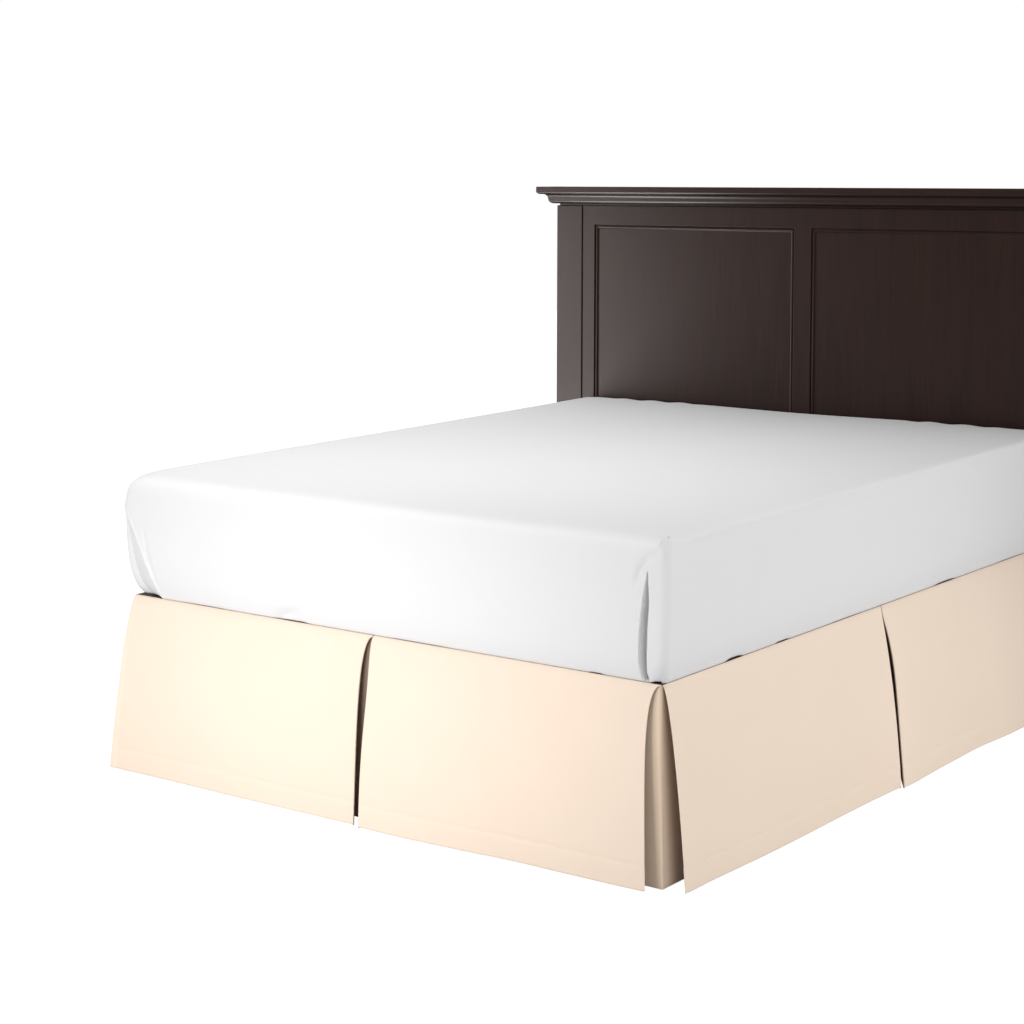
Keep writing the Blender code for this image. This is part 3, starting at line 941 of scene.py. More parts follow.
@dataclass(frozen=True)
class CornerUnderlay(Assembly):
    """The cloth behind one split foot corner, on side -1 for left or 1 for right.

    Radii are those of its corner at the top and at the bottom.
    """

    side: int
    reach: float = 0.11
    flare_foot: float = 0.026
    flare_side: float = 0.020
    radii: tuple[float, float] = (0.009, 0.003)
    bottom: float = 0.010

    def plan(self, drop: float) -> list[Point]:
        """Gives one row of points round the foot corner of the bed.

        Args:
            drop: Share of the drop.

        Returns:
            The row, from the foot to the side.
        """
        back = FACE_OFFSET - LAYER
        side = HALF_WIDTH + back + self.flare_side * drop**1.2
        foot = -HALF_LENGTH - back - self.flare_foot * drop**0.6
        height = HIDDEN_TOP + (self.bottom - HIDDEN_TOP) * drop
        radius = self.radii[0] + (self.radii[1] - self.radii[0]) * drop
        centre = (side - radius, foot + radius)
        start, end = HALF_WIDTH - self.reach, -HALF_LENGTH + self.reach
        plan = [(x, foot) for x in np.linspace(start, centre[0], 16)[:-1]]
        for turn in np.radians(np.linspace(-90, 0, 13)):
            plan.append((centre[0] + radius * cos(turn), centre[1] + radius * sin(turn)))
        plan += [(side, y) for y in np.linspace(centre[1], end, 16)[1:]]
        return [(self.side * x, y, height) for x, y in plan]

    def build(self) -> None:
        """Makes the underlay."""
        where = "left" if self.side < 0 else "right"
        grid = np.array([self.plan(drop) for drop in np.linspace(0, 1, 61) ** 1.2])
        if self.side > 0:
            grid = grid[:, ::-1]
        hem = 0.0006 * smooth_step(grid[..., 2], 0.062, 0.058)
        piece = ClothShell().build(f"corner_underlay_{where}_cloth", grid, hem)
        # The underlay's deeper tone is painted shade, and its back takes the darker painted shade.
        dress(piece, self.finishes.underlay, self.finishes.skirt_painted_shade)
        finish_piece(piece, "skirt_cloth", f"corner_underlay_{where}")


@dataclass(frozen=True)
class DeckSheet(Assembly):
    """The cotton sheet between foundation and mattress that carries the drops."""

    spacing: float = 0.04
    corner: float = 0.010
    cut: float = 0.00655

    def build(self) -> None:
        """Makes the deck, its corners cut round."""
        half = CLOTH / 2
        columns, rows = round(2 * HALF_WIDTH / self.spacing), round(2 * HALF_LENGTH / self.spacing)
        across = np.linspace(-HALF_WIDTH + half, HALF_WIDTH - half, columns)
        x, y = np.meshgrid(across, np.linspace(-HALF_LENGTH + half, HEAD_END - half, rows))
        reach_x, reach_y = HALF_WIDTH - self.corner, HALF_LENGTH - self.corner
        corner = (np.abs(x) > reach_x) & (np.abs(y) > reach_y)
        x = np.where(corner, np.sign(x) * (reach_x + self.cut), x)
        y = np.where(corner, np.sign(y) * (reach_y + self.cut), y)
        grid = np.stack([x, y, np.full_like(x, SKIRT_TOP - half)], -1)
        piece = ClothShell().build("deck_cloth", grid)
        # The deck's dark tone is painted shade for the slits under the sheet.
        dress(piece, self.finishes.deck)
        finish_piece(piece, "deck_cloth", "deck")


# ------------------------------------------------------------- the bedding


class Face(Enum):
    """A side of the mattress that a crease lies on."""

    FOOT = (0.0, -1.0)
    RIGHT = (1.0, 0.0)

    def along(self, points: Array) -> Array:
        """Gives each point's place along this side."""
        return points[..., 0] if self is Face.FOOT else points[..., 1]

    def faced(self, facing: Array, low: float, high: float) -> Array:
        """Gives how fully level directions look this way, as a share."""
        return smooth_step(facing @ np.array(self.value), low, high)


@dataclass(frozen=True)
class Crease:
    """A trough or ridge pressed into a side of the sheet.

    Line holds places along the side and heights. Depth is in millimetres, below
    zero for a ridge, and the two spreads are its half widths before and after.
    """

    face: Face
    line: Table
    depth: float
    before: float
    after: float
    fade: float = 0.7

    def press(self, points: Array, facing: Array) -> Array:
        """Gives how far each point goes in.

        Args:
            points: Points of the mattress's sides.
            facing: Level direction that each point faces.

        Returns:
            Distances, in metres.
        """
        place = np.stack([self.face.along(points), points[..., 2]], -1)
        line = np.array(self.line)
        best = np.full(points.shape[:-1], np.inf)
        side, share = np.zeros_like(best), np.zeros_like(best)
        lengths, runs = np.linalg.norm(np.diff(line, axis=0), axis=1), run_along(line)
        for start, end, length, run in zip(line, line[1:], lengths, runs):
            heading = (end - start) / length
            away = place - start
            reach = np.clip(away @ heading, 0, length)
            gap = np.linalg.norm(away - reach[..., None] * heading, axis=-1)
            turn = heading[0] * away[..., 1] - heading[1] * away[..., 0]
            nearer = gap < best
            best = np.where(nearer, gap, best)
            side = np.where(nearer, turn, side)
            share = np.where(nearer, (run + reach) / runs[-1], share)
        spread = np.where(side > 0, self.before, self.after)
        ease = np.sin(pi * np.clip(share, 0.04, 0.96)) ** self.fade
        faced = self.face.faced(facing, 0.55, 0.9)
        return self.depth / 1000 * np.exp(-((best / spread) ** 2)) * ease * faced


@dataclass(frozen=True)
class Tuck:
    """An open tuck in the sheet: a crisp edge over a recess that comes up softly.

    Edges hold a place along the side for each height, from the top down. Depth and
    lip are in millimetres, slopes are the recess's soft side above and below.
    """

    face: Face
    crisp: Table
    soft: Table
    depth: float
    lip: float
    slopes: tuple[float, float]
    turned: float = 0.0
    reach: tuple[float, float] | None = None

    def follow(self, points: Array) -> Array:
        """Gives how far columns near the crisp edge shift along the side to follow it.

        Args:
            points: Points of the mattress's sides.

        Returns:
            Distances along the side, in metres.
        """
        if self.reach is None:
            return np.zeros(points.shape[:-1])
        middle = sum(place for place, _ in self.crisp) / len(self.crisp)
        away = self.face.along(points) - middle
        near = smooth_step(away, -self.reach[0], -0.014) * smooth_step(away, self.reach[1], 0.014)
        return (self.read(self.crisp, points[..., 2]) - middle) * near * (points[..., 1] < -0.99)

    def press(self, points: Array, facing: Array) -> Array:
        """Gives how far each point goes in.

        Args:
            points: Points of the mattress's sides.
            facing: Level direction that each point faces.

        Returns:
            Distances, in metres.
        """
        way = 1 if self.soft[-1][0] > self.crisp[-1][0] else -1
        along, height = way * self.face.along(points), points[..., 2]
        start = way * self.read(self.crisp, height)
        end = way * self.read(self.soft, height)
        low, high = self.crisp[-1][1], self.crisp[0][1]
        above = smooth_step(height, low + 0.10, low + 0.16)
        slope = self.slopes[1] + (self.slopes[0] - self.slopes[1]) * above
        fall = smooth_step(along, start, start + (0.004 if self.reach is None else 0.0001))
        climb = smooth_step(along, end + 0.0006, end - slope)
        inside = (height > low) & (height < high)
        depth = np.minimum(self.depth / 1000, 1.6 * np.maximum(end - start, 0.0))
        depth = depth + self.turned * np.clip(along - start, 0.0, 0.2)
        depth = depth * smooth_step(height, high, high - 0.012)
        lip = np.exp(-(((along - start + 0.004) / 0.004) ** 2)) * self.lip / 1000
        lip = lip * smooth_step(height, high, high - 0.06) * (along < start)
        faced = self.face.faced(facing, 0.30, 0.7)
        return (depth * fall * climb * inside - lip * inside) * faced

    def read(self, edge: Table, height: Array) -> Array:
        """Reads an edge's place at each height."""
        table = np.array(edge)[::-1]
        return np.interp(height, table[:, 1], table[:, 0])


@dataclass(frozen=True)
class Lift:
    """A place where the sheet's lower edge rides up off the skirt, height in millimetres."""

    face: Face
    middle: float
    reach: float
    height: float

    def rise(self, points: Array, facing: Array) -> Array:
        """Gives how far the edge rides up.

        Args:
            points: Points of the mattress.
            facing: Level direction that each point faces.

        Returns:
            Distances, in metres.
        """
        away = np.abs(self.face.along(points) - self.middle) / self.reach
        faced = self.face.faced(facing, 0.60, 0.72)
        return self.height / 1000 * smooth_step(away, 1.0, 0.35) * faced


@dataclass(frozen=True)
class FittedMattress(Assembly):
    """A pocket-spring mattress in its fitted sheet, slack at the foot corners.

    Rings hold shares of the thickness and distances out from the bed's edge. Pulled
    holds the radius of the far foot corner at shares of the thickness. Sides hold each
    side's length and its gaps between columns at its start and end.
    """

    rings: Table
    creases: tuple[Crease | Tuck, ...]
    lifts: tuple[Lift, ...]
    thickness: float = 0.3196
    rise: float = 0.0111
    corner: float = 0.024
    pulled: Table = (
        (0.00, 0.040), (0.05, 0.034), (0.185, 0.027), (0.40, 0.024),
        (0.72, 0.024), (0.85, 0.034), (0.93, 0.050), (1.00, 0.080),
    )
    sides: Table = (
        (2.03, 0.003, 0.011), (1.52, 0.011, 0.011), (2.03, 0.011, 0.003), (1.52, 0.0024, 0.0012),
    )
    spacing: float = 0.0090
    base: float = SKIRT_TOP + SEAT_GAP

    def profile(self) -> Array:
        """Spreads rows over side and top.

        Returns:
            Share of the thickness and distance out for each row.
        """
        table = np.array(self.rings)
        fine = catmull_rom(table, np.linspace(0, len(table) - 1, 3000))
        steps = np.hypot(np.diff(fine[:, 0]) * self.thickness, np.diff(fine[:, 1]))
        run = np.concatenate([[0], np.cumsum(steps)])
        over = run[np.argmax(fine[:, 1] < -0.03)]
        places = [0.0]
        while places[-1] < run[-1]:
            past = max(places[-1] - over, 0.0)
            places.append(places[-1] + 0.0048 + 0.16 * past)
        places[-1] = run[-1]
        return np.stack([np.interp(places, run, fine[:, n]) for n in (0, 1)], -1)

    def columns(self, length: float, start_gap: float, end_gap: float) -> Array:
        """Spreads columns along one side, closer near the corners that show creases.

        Args:
            length: Length of the side.
            start_gap: Gap between columns at its start.
            end_gap: Gap at its end.

        Returns:
            Shares of the side, from 0 to 1.
        """
        wide = self.spacing
        places = [0.0]
        while places[-1] < length:
            near = start_gap + (wide - start_gap) * smooth_step(places[-1], 0.06, 0.17)
            far = end_gap + (wide - end_gap) * smooth_step(length - places[-1], 0.06, 0.17)
            places.append(places[-1] + float(min(near, far)))
        return np.array(places[:-1]) / places[-1]

    def outline(self, offset: float, trim: float, share: float = 0.0) -> tuple[Array, Array]:
        """Gives one outline of the mattress.

        Args:
            offset: Distance out from the bed's edge.
            trim: How far the head end steps back.
            share: Share of the thickness, for the corner that the sheet pulls round.

        Returns:
            Level points and the directions that they face.
        """
        low = np.array([-HALF_WIDTH - offset, -HALF_LENGTH - offset])
        high = np.array([HALF_WIDTH + offset, HEAD_END - trim])
        half = (high[0] - low[0]) / 2
        radius = max(min(self.corner + 0.8 * min(trim, 0.26), half), 0.0)
        pulled = float(np.interp(share, *np.array(self.pulled).T)) - self.corner
        pulled = max(min(radius + pulled, half), 0.0)
        shares = [self.columns(*side)[1:] for side in self.sides]
        return rounded_ring(low, high, [radius] * 3 + [pulled], [12, 6, 6, 16], shares)

    def build(self) -> None:
        """Makes the mattress."""
        profile = self.profile()
        layers, facings = [], []
        for share, offset in profile:
            plan, facing = self.outline(offset, max(-offset, 0.0), share)
            thick = self.thickness + self.rise * plan[:, 1]
            layers.append(np.column_stack([plan, self.base + share * thick]))
            facings.append(facing)
        grid, facing = np.array(layers), np.array(facings)
        for tuck in self.creases:
            if isinstance(tuck, Tuck):
                grid[..., 0] += tuck.follow(grid)
        inward = sum(crease.press(grid, facing) for crease in self.creases)
        side = smooth_step(profile[:, 0], 1.0, 0.96)[:, None]
        edge = np.maximum.reduce([lift.rise(grid[:1], facing[:1]) for lift in self.lifts])
        grid[..., 2] += edge * smooth_step(profile[:, 0], 0.16, 0.0)[:, None]
        grid[..., :2] -= facing * (inward * np.maximum(side, 0.15))[..., None]
        grid[..., 2] += self.crown(grid) * (1 - side)
        under = []
        for trim in (HALF_WIDTH, 0.40, 0.10, 0.02):
            plan, _ = self.outline(-trim, trim)
            under.append(np.column_stack([plan, self.base + edge[0] * (trim < 0.05)]))
        under = np.array(under)
        flat = np.concatenate([under[..., :2], self.flat(grid)]).reshape(-1, 2)
        whole = np.concatenate([under, grid])
        faces = ring_faces(number_grid(*whole.shape[:2]))
        # The underside, out to about 20 mm under the edge, takes the near-black painted shade seen in
        # the lifted gaps.
        slots = np.arange(len(faces)) < under[..., 0].size
        points = whole.reshape(-1, 3)
        piece = mesh_piece("mattress_in_sheet", points, faces.tolist(), flat, slots=slots)
        self.close_ends(piece)
        dress(piece, self.finishes.sheet, self.finishes.base)
        finish_piece(piece, "sheet_cloth", "mattress")

    def close_ends(self, piece: Piece) -> None:
        """Merges the middle lines of top and bottom and closes what is left.

        Args:
            piece: The mattress.
        """
        with editing(piece.data) as edit:
            middle = [v for v in edit.verts if abs(v.co.x) < 0.0008]
            bmesh.ops.remove_doubles(edit, verts=middle, dist=0.0035)
            bmesh.ops.dissolve_degenerate(edit, edges=edit.edges, dist=0.00001)
            holes = [edge for edge in edit.edges if edge.is_boundary]
            if holes:
                bmesh.ops.holes_fill(edit, edges=holes, sides=0)
            bmesh.ops.recalc_face_normals(edit, faces=edit.faces)

    def crown(self, grid: Array) -> Array:
        """Gives the soft unevenness of the top and its puckers at the headboard.

        Args:
            grid: Rows by columns of points.

        Returns:
            Heights, in metres.
        """
        x, y = grid[..., 0], grid[..., 1]
        soft = 0.0016 * np.sin(5.1 * x + 1.3) * np.sin(3.7 * y + 0.6)
        soft = soft + 0.0010 * np.sin(9.3 * x - 2.1 * y + 0.4)
        puckers = smooth_step(y, 0.84, 0.96) * smooth_step(np.abs(x), 0.30, 0.40)
        puckers = puckers * smooth_step(np.abs(x), 0.68, 0.60)
        return soft + 0.0019 * puckers * np.sin(60.4 * (x - 0.411))

    def flat(self, grid: Array) -> Array:
        """Lays the sheet flat, its sides round the mattress and its top as it lies."""
        spread = lay_flat(grid, len(grid) // 3)
        return np.where(spread[..., 1:] < 0.36, spread, grid[..., :2])


@dataclass(frozen=True)
class Foundation(Assembly):
    """A box spring in its cover, with a piped edge at top and bottom.

    Edge holds how far in from the side and how high each ring of the cover lies, from
    under its middle up past the piping. The top mirrors it.
    """

    inset: float = 0.008
    height: float = 0.2286
    corner: float = 0.02
    piping: float = 0.011
    belly: float = 0.0035
    spacing: float = 0.025
    edge: Table = (
        (0.30, 0.0), (0.05, 0.0), (0.012, 0.0), (0.006, 0.001), (0.003, 0.006), (0.0045, 0.008),
    )

    def outline(self, step_in: float) -> Array:
        """Gives a rounded rectangle round the foundation.

        Args:
            step_in: Distance in from its sides.

        Returns:
            Level points.
        """
        low = np.array([-HALF_WIDTH, -HALF_LENGTH]) + self.inset + step_in
        high = np.array([HALF_WIDTH - self.inset, HEAD_END]) - step_in
        across, along = high - low - 2 * self.corner
        counts = [max(round(span / self.spacing), 2) for span in (along, across)] * 2
        shares = [np.linspace(0, 1, count + 1)[1:-1] for count in counts]
        return rounded_ring(low, high, [self.corner] * 4, [8] * 4, shares)[0]

    def build(self) -> None:
        """Makes the foundation's cover and its piping."""
        bottom = SKIRT_TOP - CLOTH - SEAT_GAP - self.height
        steps = list(self.edge)
        for share in np.linspace(0, 1, 9):
            belly = self.belly * (1 - sin(pi * share) ** 0.5)
            steps.append((belly, self.piping + share * (self.height - 2 * self.piping)))
        steps += [(step_in, self.height - up) for step_in, up in self.edge[::-1]]
        rings = []
        for step_in, up in steps:
            plan = self.outline(step_in)
            if rings:
                plan = self.match(plan, len(rings[0]))
            rings.append(np.column_stack([plan, np.full(len(plan), bottom + up)]))
        numbers = number_grid(len(rings), len(rings[0]))
        faces = [*ring_faces(numbers).tolist(), numbers[0].tolist(), numbers[-1].tolist()]
        points = np.concatenate(rings)
        flat = np.column_stack([points[:, 0] + points[:, 1], points[:, 2]])
        piece = mesh_piece("foundation_cover", points, faces, flat)
        dress(piece, self.finishes.ticking)
        finish_piece(piece, "foundation_cloth", "foundation")

    def match(self, plan: Array, count: int) -> Array:
        """Spreads a closed outline over a fixed number of points.

        Args:
            plan: Level points, once round.
            count: How many points it gets.

        Returns:
            The same outline with that many points.
        """
        if len(plan) == count:
            return plan
        closed = np.concatenate([plan, plan[:1]])
        run = run_along(closed)
        places = np.linspace(0, run[-1], count, endpoint=False)
        return np.stack([np.interp(places, run, closed[:, n]) for n in (0, 1)], -1)


# ------------------------------------------------------- frame and headboard


@dataclass(frozen=True)
class SteelFrame(Assembly):
    """The frame under the foundation, whose solids keep their shape."""

    parts: tuple[str, ...] = ("rail", "cross_bar", "leg", "bracket")

    def build(self, nodes: dict) -> None:
        """Coats every steel part.

        Args:
            nodes: The CAD nodes by name.
        """
        for name, node in nodes.items():
            if name.startswith(self.parts):
                dress(node, self.finishes.steel)
                LOG.info("%s: coated", name)


@dataclass(frozen=True)
class Headboard(Assembly):
    """A framed headboard with two panels in bead moulding under a crown.

    Border holds each turn's distance in from the frame and depth, crown each turn's
    overhang and distance down from the top.
    """

    half_width: float = 0.890
    crown_top: float = 1.4265
    groove: float = 0.0018
    border: Table = (
        (0.0000, 0.0180), (0.0000, 0.0030), (0.0008, 0.0024), (0.0028, 0.0024),
        (0.0034, 0.0014), (0.0046, 0.0005), (0.0062, 0.0000), (0.0078, 0.0004),
        (0.0090, 0.0013), (0.0098, 0.0026), (0.0102, 0.0048), (0.0112, 0.0056),
        (0.0130, 0.0060),
    )
    crown: Table = (
        (0.0470, 0.0000), (0.0484, 0.0004), (0.0490, 0.0014), (0.0490, 0.0172),
        (0.0484, 0.0186), (0.0470, 0.0204), (0.0450, 0.0222), (0.0430, 0.0234),
        (0.0408, 0.0240), (0.0330, 0.0243), (0.0300, 0.0246), (0.0282, 0.0254),
        (0.0262, 0.0270), (0.0242, 0.0292), (0.0226, 0.0318), (0.0216, 0.0346),
        (0.0210, 0.0372), (0.0208, 0.0396), (0.0204, 0.0426), (0.0196, 0.0456),
        (0.0180, 0.0486), (0.0156, 0.0512), (0.0124, 0.0530), (0.0088, 0.0540),
        (0.0040, 0.0544), (-0.0070, 0.0546), (-0.0070, 0.0600),
    )

    def build(self, nodes: dict) -> None:
        """Makes frame, panels and crown, and stains the posts.

        Args:
            nodes: The CAD nodes by name.
        """
        for name, node in nodes.items():
            if name.startswith("headboard_post"):
                dress(node, self.finishes.wood_upright)
                LOG.info("%s: stained", name)
        self.build_frame()
        for where in ("left", "right"):
            self.build_panel(where)
        self.build_crown()

    def build_frame(self) -> None:
        """Makes stiles and rails, flush and jointed tight, with eased edges."""
        top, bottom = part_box("headboard_top_rail"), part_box("headboard_bottom_rail")
        middle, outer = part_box("headboard_stile_middle"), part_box("headboard_stile_left")
        across = (top[0].x + self.groove, outer[1].x, middle[0].x)
        across += tuple(-place for place in across[::-1])
        upward = (bottom[0].z, bottom[1].z, top[0].z, top[1].z)
        points = [(x, y, z) for y in (top[0].y, top[1].y) for z in upward for x in across]
        wide, layer = len(across), len(across) * len(upward)
        filled = {(n, m) for n in range(5) for m in range(3) if not (m == 1 and n in (1, 3))}
        faces = []
        for n, m in sorted(filled):
            a = m * wide + n
            corners = [a, a + 1, a + wide + 1, a + wide]
            faces += [corners, [number + layer for number in corners[::-1]]]
            walls = (((n, m - 1), 0), ((n + 1, m), 1), ((n, m + 1), 2), ((n - 1, m), 3))
            for beside, edge in walls:
                if beside not in filled:
                    start, end = corners[edge], corners[(edge + 1) % 4]
                    faces.append([end, start, start + layer, end + layer])
        piece = mesh_piece("board_frame", np.array(points), faces)
        with editing(piece.data) as edit:
            sharp = [edge for edge in edit.edges if edge.calc_face_angle(0.0) > 1.0]
            bmesh.ops.bevel(edit, geom=sharp, offset=0.0012, segments=3, affect="EDGES", profile=0.5)
        for face in piece.data.polygons:
            face.use_smooth = face.area < 0.004
        dress(piece, self.finishes.wood_upright)
        names = ("stile_left", "stile_middle", "stile_right", "top_rail", "bottom_rail")
        finish_piece(piece, "board_wood", *[f"headboard_{name}" for name in names])

    def build_panel(self, where: str) -> None:
        """Makes one panel with its mitred bead moulding.

        Args:
            where: The side's name.
        """
        low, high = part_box(f"headboard_panel_{where}")
        rings = []
        for step_in, depth in self.border:
            (left, right), y = (low.x + step_in, high.x - step_in), low.y + depth
            down, up = low.z + step_in, high.z - step_in
            rings.append([(left, y, down), (right, y, down), (right, y, up), (left, y, up)])
        piece = self.stack(f"panel_{where}", rings)
        dress(piece, self.finishes.wood_upright)
        finish_piece(piece, "board_wood", f"headboard_panel_{where}")

    def build_crown(self) -> None:
        """Makes the crown, returned round both ends."""
        rings = []
        for overhang, depth in self.crown:
            side, front, z = self.half_width + overhang, BOARD_FRONT - overhang, self.crown_top - depth
            ends = ((-side, front), (side, front), (side, BOARD_BACK), (-side, BOARD_BACK))
            rings.append([(x, y, z) for x, y in ends])
        piece = self.stack("crown_moulding", rings)
        dress(piece, self.finishes.wood_across)
        finish_piece(piece, "board_wood", "headboard_crown")

    def stack(self, name: str, rings: list) -> Piece:
        """Makes a closed piece from rings of four points.

        Args:
            name: Name of the piece.
            rings: The rings, from one end to the other.

        Returns:
            The new object.
        """
        numbers = number_grid(len(rings), 4)
        faces = [numbers[0, ::-1].tolist(), numbers[-1].tolist(), *ring_faces(numbers).tolist()]
        points = np.array(rings).reshape(-1, 3)
        return mesh_piece(name, points, faces, crease=42, wide=0.006)


# --------------------------------------------------------------- the studio


@dataclass(frozen=True)
class Softbox:
    """One soft area light, which either lights the cloths or glints in the wood."""

    name: str
    at: Point
    aim: Point
    size: tuple[float, float]
    watts: float
    glint: bool = False

    def build(self) -> None:
        """Hangs the light."""
        data = bpy.data.lights.new(self.name, "AREA")
        data.shape = "RECTANGLE"
        data.size, data.size_y = self.size
        data.energy = self.watts
        light = place_object(self.name, data)
        light.location = self.at
        x, y, z = np.array(self.aim) - np.array(self.at)
        light.rotation_euler = (atan2(hypot(x, y), -z), 0, atan2(x, -y) + pi)
        light.visible_camera = False
        light.visible_diffuse = not self.glint
        light.visible_glossy = self.glint


@dataclass(frozen=True)
class Studio:
    """A white floor, a white surround, soft lights and the camera."""

    lights: tuple[Softbox, ...]
    sky: float = 0.583
    glint: float = 0.45
    reach: float = 14.0
    lens: float = 74.039
    shift: tuple[float, float] = (0.08, -0.20)
    eye: Point = (2.9844, -4.6643, 1.4685)
    turn: Point = (86.372, 0.0, 37.733)

    def build(self) -> None:
        """Sets the stage."""
        self.build_floor()
        self.build_surround()
        for light in self.lights:
            light.build()
        self.build_camera()

    def build_floor(self) -> None:
        """Lays the white floor."""
        mesh = bpy.data.meshes.new("studio_floor")
        corners = [(x * self.reach, y * self.reach, 0) for x, y in ((-1, -1), (1, -1), (1, 1), (-1, 1))]
        mesh.from_pydata(corners, [], [(0, 1, 2, 3)])
        floor = place_object("studio_floor", mesh)
        # Painted studio floor: clear white to the eye, while it lights the bed like a mid grey.
        values = {"Base Color": linear("#8c8c8c"), "Roughness": 1.0, "Specular IOR Level": 0.0}
        values["Emission Color"] = (1, 1, 1, 1)
        material, tree, shader = start_material("white_studio_paint", values)
        seen = add_node(tree, "ShaderNodeLightPath").outputs["Is Camera Ray"]
        set_inputs(tree, shader, {"Emission Strength": seen})
        dress(floor, material)

    def build_surround(self) -> None:
        """Fills the air with even white light."""
        world = bpy.data.worlds.new("white_surround")
        world.use_nodes = True
        tree = world.node_tree
        # The backdrop reads as white, lights the bed a little less, and glints less still.
        rays = add_node(tree, "ShaderNodeLightPath").outputs
        lit = {"Value": rays["Is Glossy Ray"], "To Min": self.sky, "To Max": self.glint}
        seen = {"Value": rays["Is Camera Ray"], "To Min": add_node(tree, RANGE, lit), "To Max": 1.0}
        inputs = {"Strength": add_node(tree, RANGE, seen), "Color": (1, 1, 1, 1)}
        set_inputs(tree, tree.nodes["Background"], inputs)
        bpy.context.scene.world = world
        bpy.context.scene.view_settings.view_transform = "Standard"

    def build_camera(self) -> None:
        """Stands the camera at the near foot corner."""
        data = bpy.data.cameras.new("camera")
        data.lens = self.lens
        data.sensor_width = 36.0
        data.shift_x, data.shift_y = self.shift
        data.clip_end = 60.0
        camera = place_object("camera", data)
        camera.location = self.eye
        camera.rotation_euler = Euler([radians(angle) for angle in self.turn])
        bpy.context.scene.camera = camera


# ---------------------------------------------------------- this bed's tables

FOOT_LEFT = Panel(
    (
        (-0.7606, -0.762, 0.093, 0.011), (-0.7100, -0.705, 0.086, 0.010),
        (-0.5300, -0.527, 0.084, 0.010), (-0.3650, -0.364, 0.083, 0.010),
        (-0.2150, -0.217, 0.079, 0.009), (-0.0900, -0.094, 0.076, 0.009),
        (-0.0010, -0.002, 0.071, 0.008),
    ),
    (
        (0.082, 18, -1.3), (0.15, 40, 0.8), (0.31, 60, -0.7), (0.52, 50, 0.6), (0.74, 70, -0.6),
        (0.88, 30, 0.7),
    ),
    end_bow=-0.0165,
)
FOOT_RIGHT = Panel(
    (
        (0.0010, 0.0205, 0.080, 0.008), (0.0700, 0.077, 0.080, 0.008),
        (0.1950, 0.198, 0.078, 0.009), (0.3150, 0.315, 0.071, 0.009),
        (0.4250, 0.424, 0.063, 0.010), (0.6500, 0.647, 0.060, 0.010),
        (0.7610, 0.758, 0.058, 0.011),
    ),
    ((0.10, 40, -0.7), (0.27, 55, 0.8), (0.45, 45, -0.6), (0.66, 60, 0.7), (0.84, 40, -0.6)),
    end_bow=-0.023,
    lens=0.007,
)
SIDE_NEAR = Panel(
    (
        (-1.0150, -1.022, 0.061, 0.006), (-0.9400, -0.944, 0.062, 0.006),
        (-0.8200, -0.828, 0.066, 0.006), (-0.5600, -0.580, 0.073, 0.006),
        (-0.2700, -0.300, 0.075, 0.006), (-0.1200, -0.160, 0.077, 0.006),
        (-0.0120, -0.0615, 0.083, 0.006),
    ),
    ((0.09, 40, 0.8), (0.24, 60, -0.8), (0.43, 55, 0.7), (0.61, 70, -0.6), (0.83, 45, 0.8)),
    start_bow=-0.003,
    end_bow=-0.024,
    groove=0.0001,
)
SIDE_FAR = Panel(
    (
        (-0.0090, -0.0565, 0.090, 0.006), (0.0550, 0.010, 0.091, 0.006),
        (0.2200, 0.190, 0.088, 0.006), (0.4200, 0.400, 0.087, 0.006),
        (0.5900, 0.580, 0.099, 0.006), (0.8300, 0.828, 0.101, 0.007),
        (1.0080, 1.008, 0.098, 0.008),
    ),
    ((0.12, 50, 0.7), (0.30, 60, -0.8), (0.55, 60, 0.8), (0.78, 70, -0.7)),
    start_bow=-0.024,
    lens=0.013,
    groove=0.0001,
)
MATTRESS_RINGS = (
    (0.000, -0.0012), (0.010, 0.0018), (0.025, 0.0043), (0.045, 0.0071), (0.075, 0.0104),
    (0.130, 0.0147), (0.200, 0.0182), (0.350, 0.0225), (0.620, 0.0255), (0.790, 0.0250),
    (0.885, 0.0215), (0.935, 0.0145), (0.965, 0.0030), (0.983, -0.0140), (0.994, -0.0450),
    (0.998, -0.1100), (1.000, -0.2600), (1.000, -0.5000), (1.000, -0.7620),
)
NEAR_CORNER_TUCK = Tuck(
    Face.FOOT,
    (
        (0.7400, 0.6690), (0.7297, 0.6116), (0.7227, 0.5657), (0.7181, 0.5249),
        (0.7162, 0.5011), (0.7142, 0.4706), (0.7148, 0.4476), (0.7200, 0.4290),
    ),
    (
        (0.7402, 0.6690), (0.7413, 0.6320), (0.7426, 0.5990), (0.7416, 0.5754), (0.7394, 0.5514),
        (0.7380, 0.5200), (0.7345, 0.4800), (0.7310, 0.4494), (0.7350, 0.4290),
    ),
    depth=24.0,
    lip=1.2,
    slopes=(0.0025, 0.0095),
    reach=(0.055, 0.042),
)
FAR_CORNER_FLAP = Tuck(
    Face.FOOT,
    (
        (-0.7900, 0.6550), (-0.7654, 0.6227), (-0.7481, 0.5911), (-0.7277, 0.5487),
        (-0.7120, 0.5130), (-0.6950, 0.4800), (-0.6800, 0.4500), (-0.6690, 0.4250),
    ),
    ((-0.9000, 0.6550), (-0.9000, 0.4250)),
    depth=2.5,
    lip=1.5,
    slopes=(0.010, 0.010),
    turned=0.30,
)
# The slack that runs over the near corner above the tuck, and on along the top edge.
HOOK = ((0.7120, 0.6350), (0.7157, 0.6502), (0.7227, 0.6701), (0.7380, 0.6886), (0.7600, 0.6990))
SIDE_RIDGE = ((-1.000, 0.7220), (-0.600, 0.7265), (0.000, 0.7330), (0.980, 0.7440))
SIDE_TROUGH = ((-1.020, 0.7020), (-0.600, 0.7070), (0.000, 0.7140), (0.980, 0.7250))
FOOT_RIDGE = ((-0.500, 0.7180), (0.740, 0.7180))
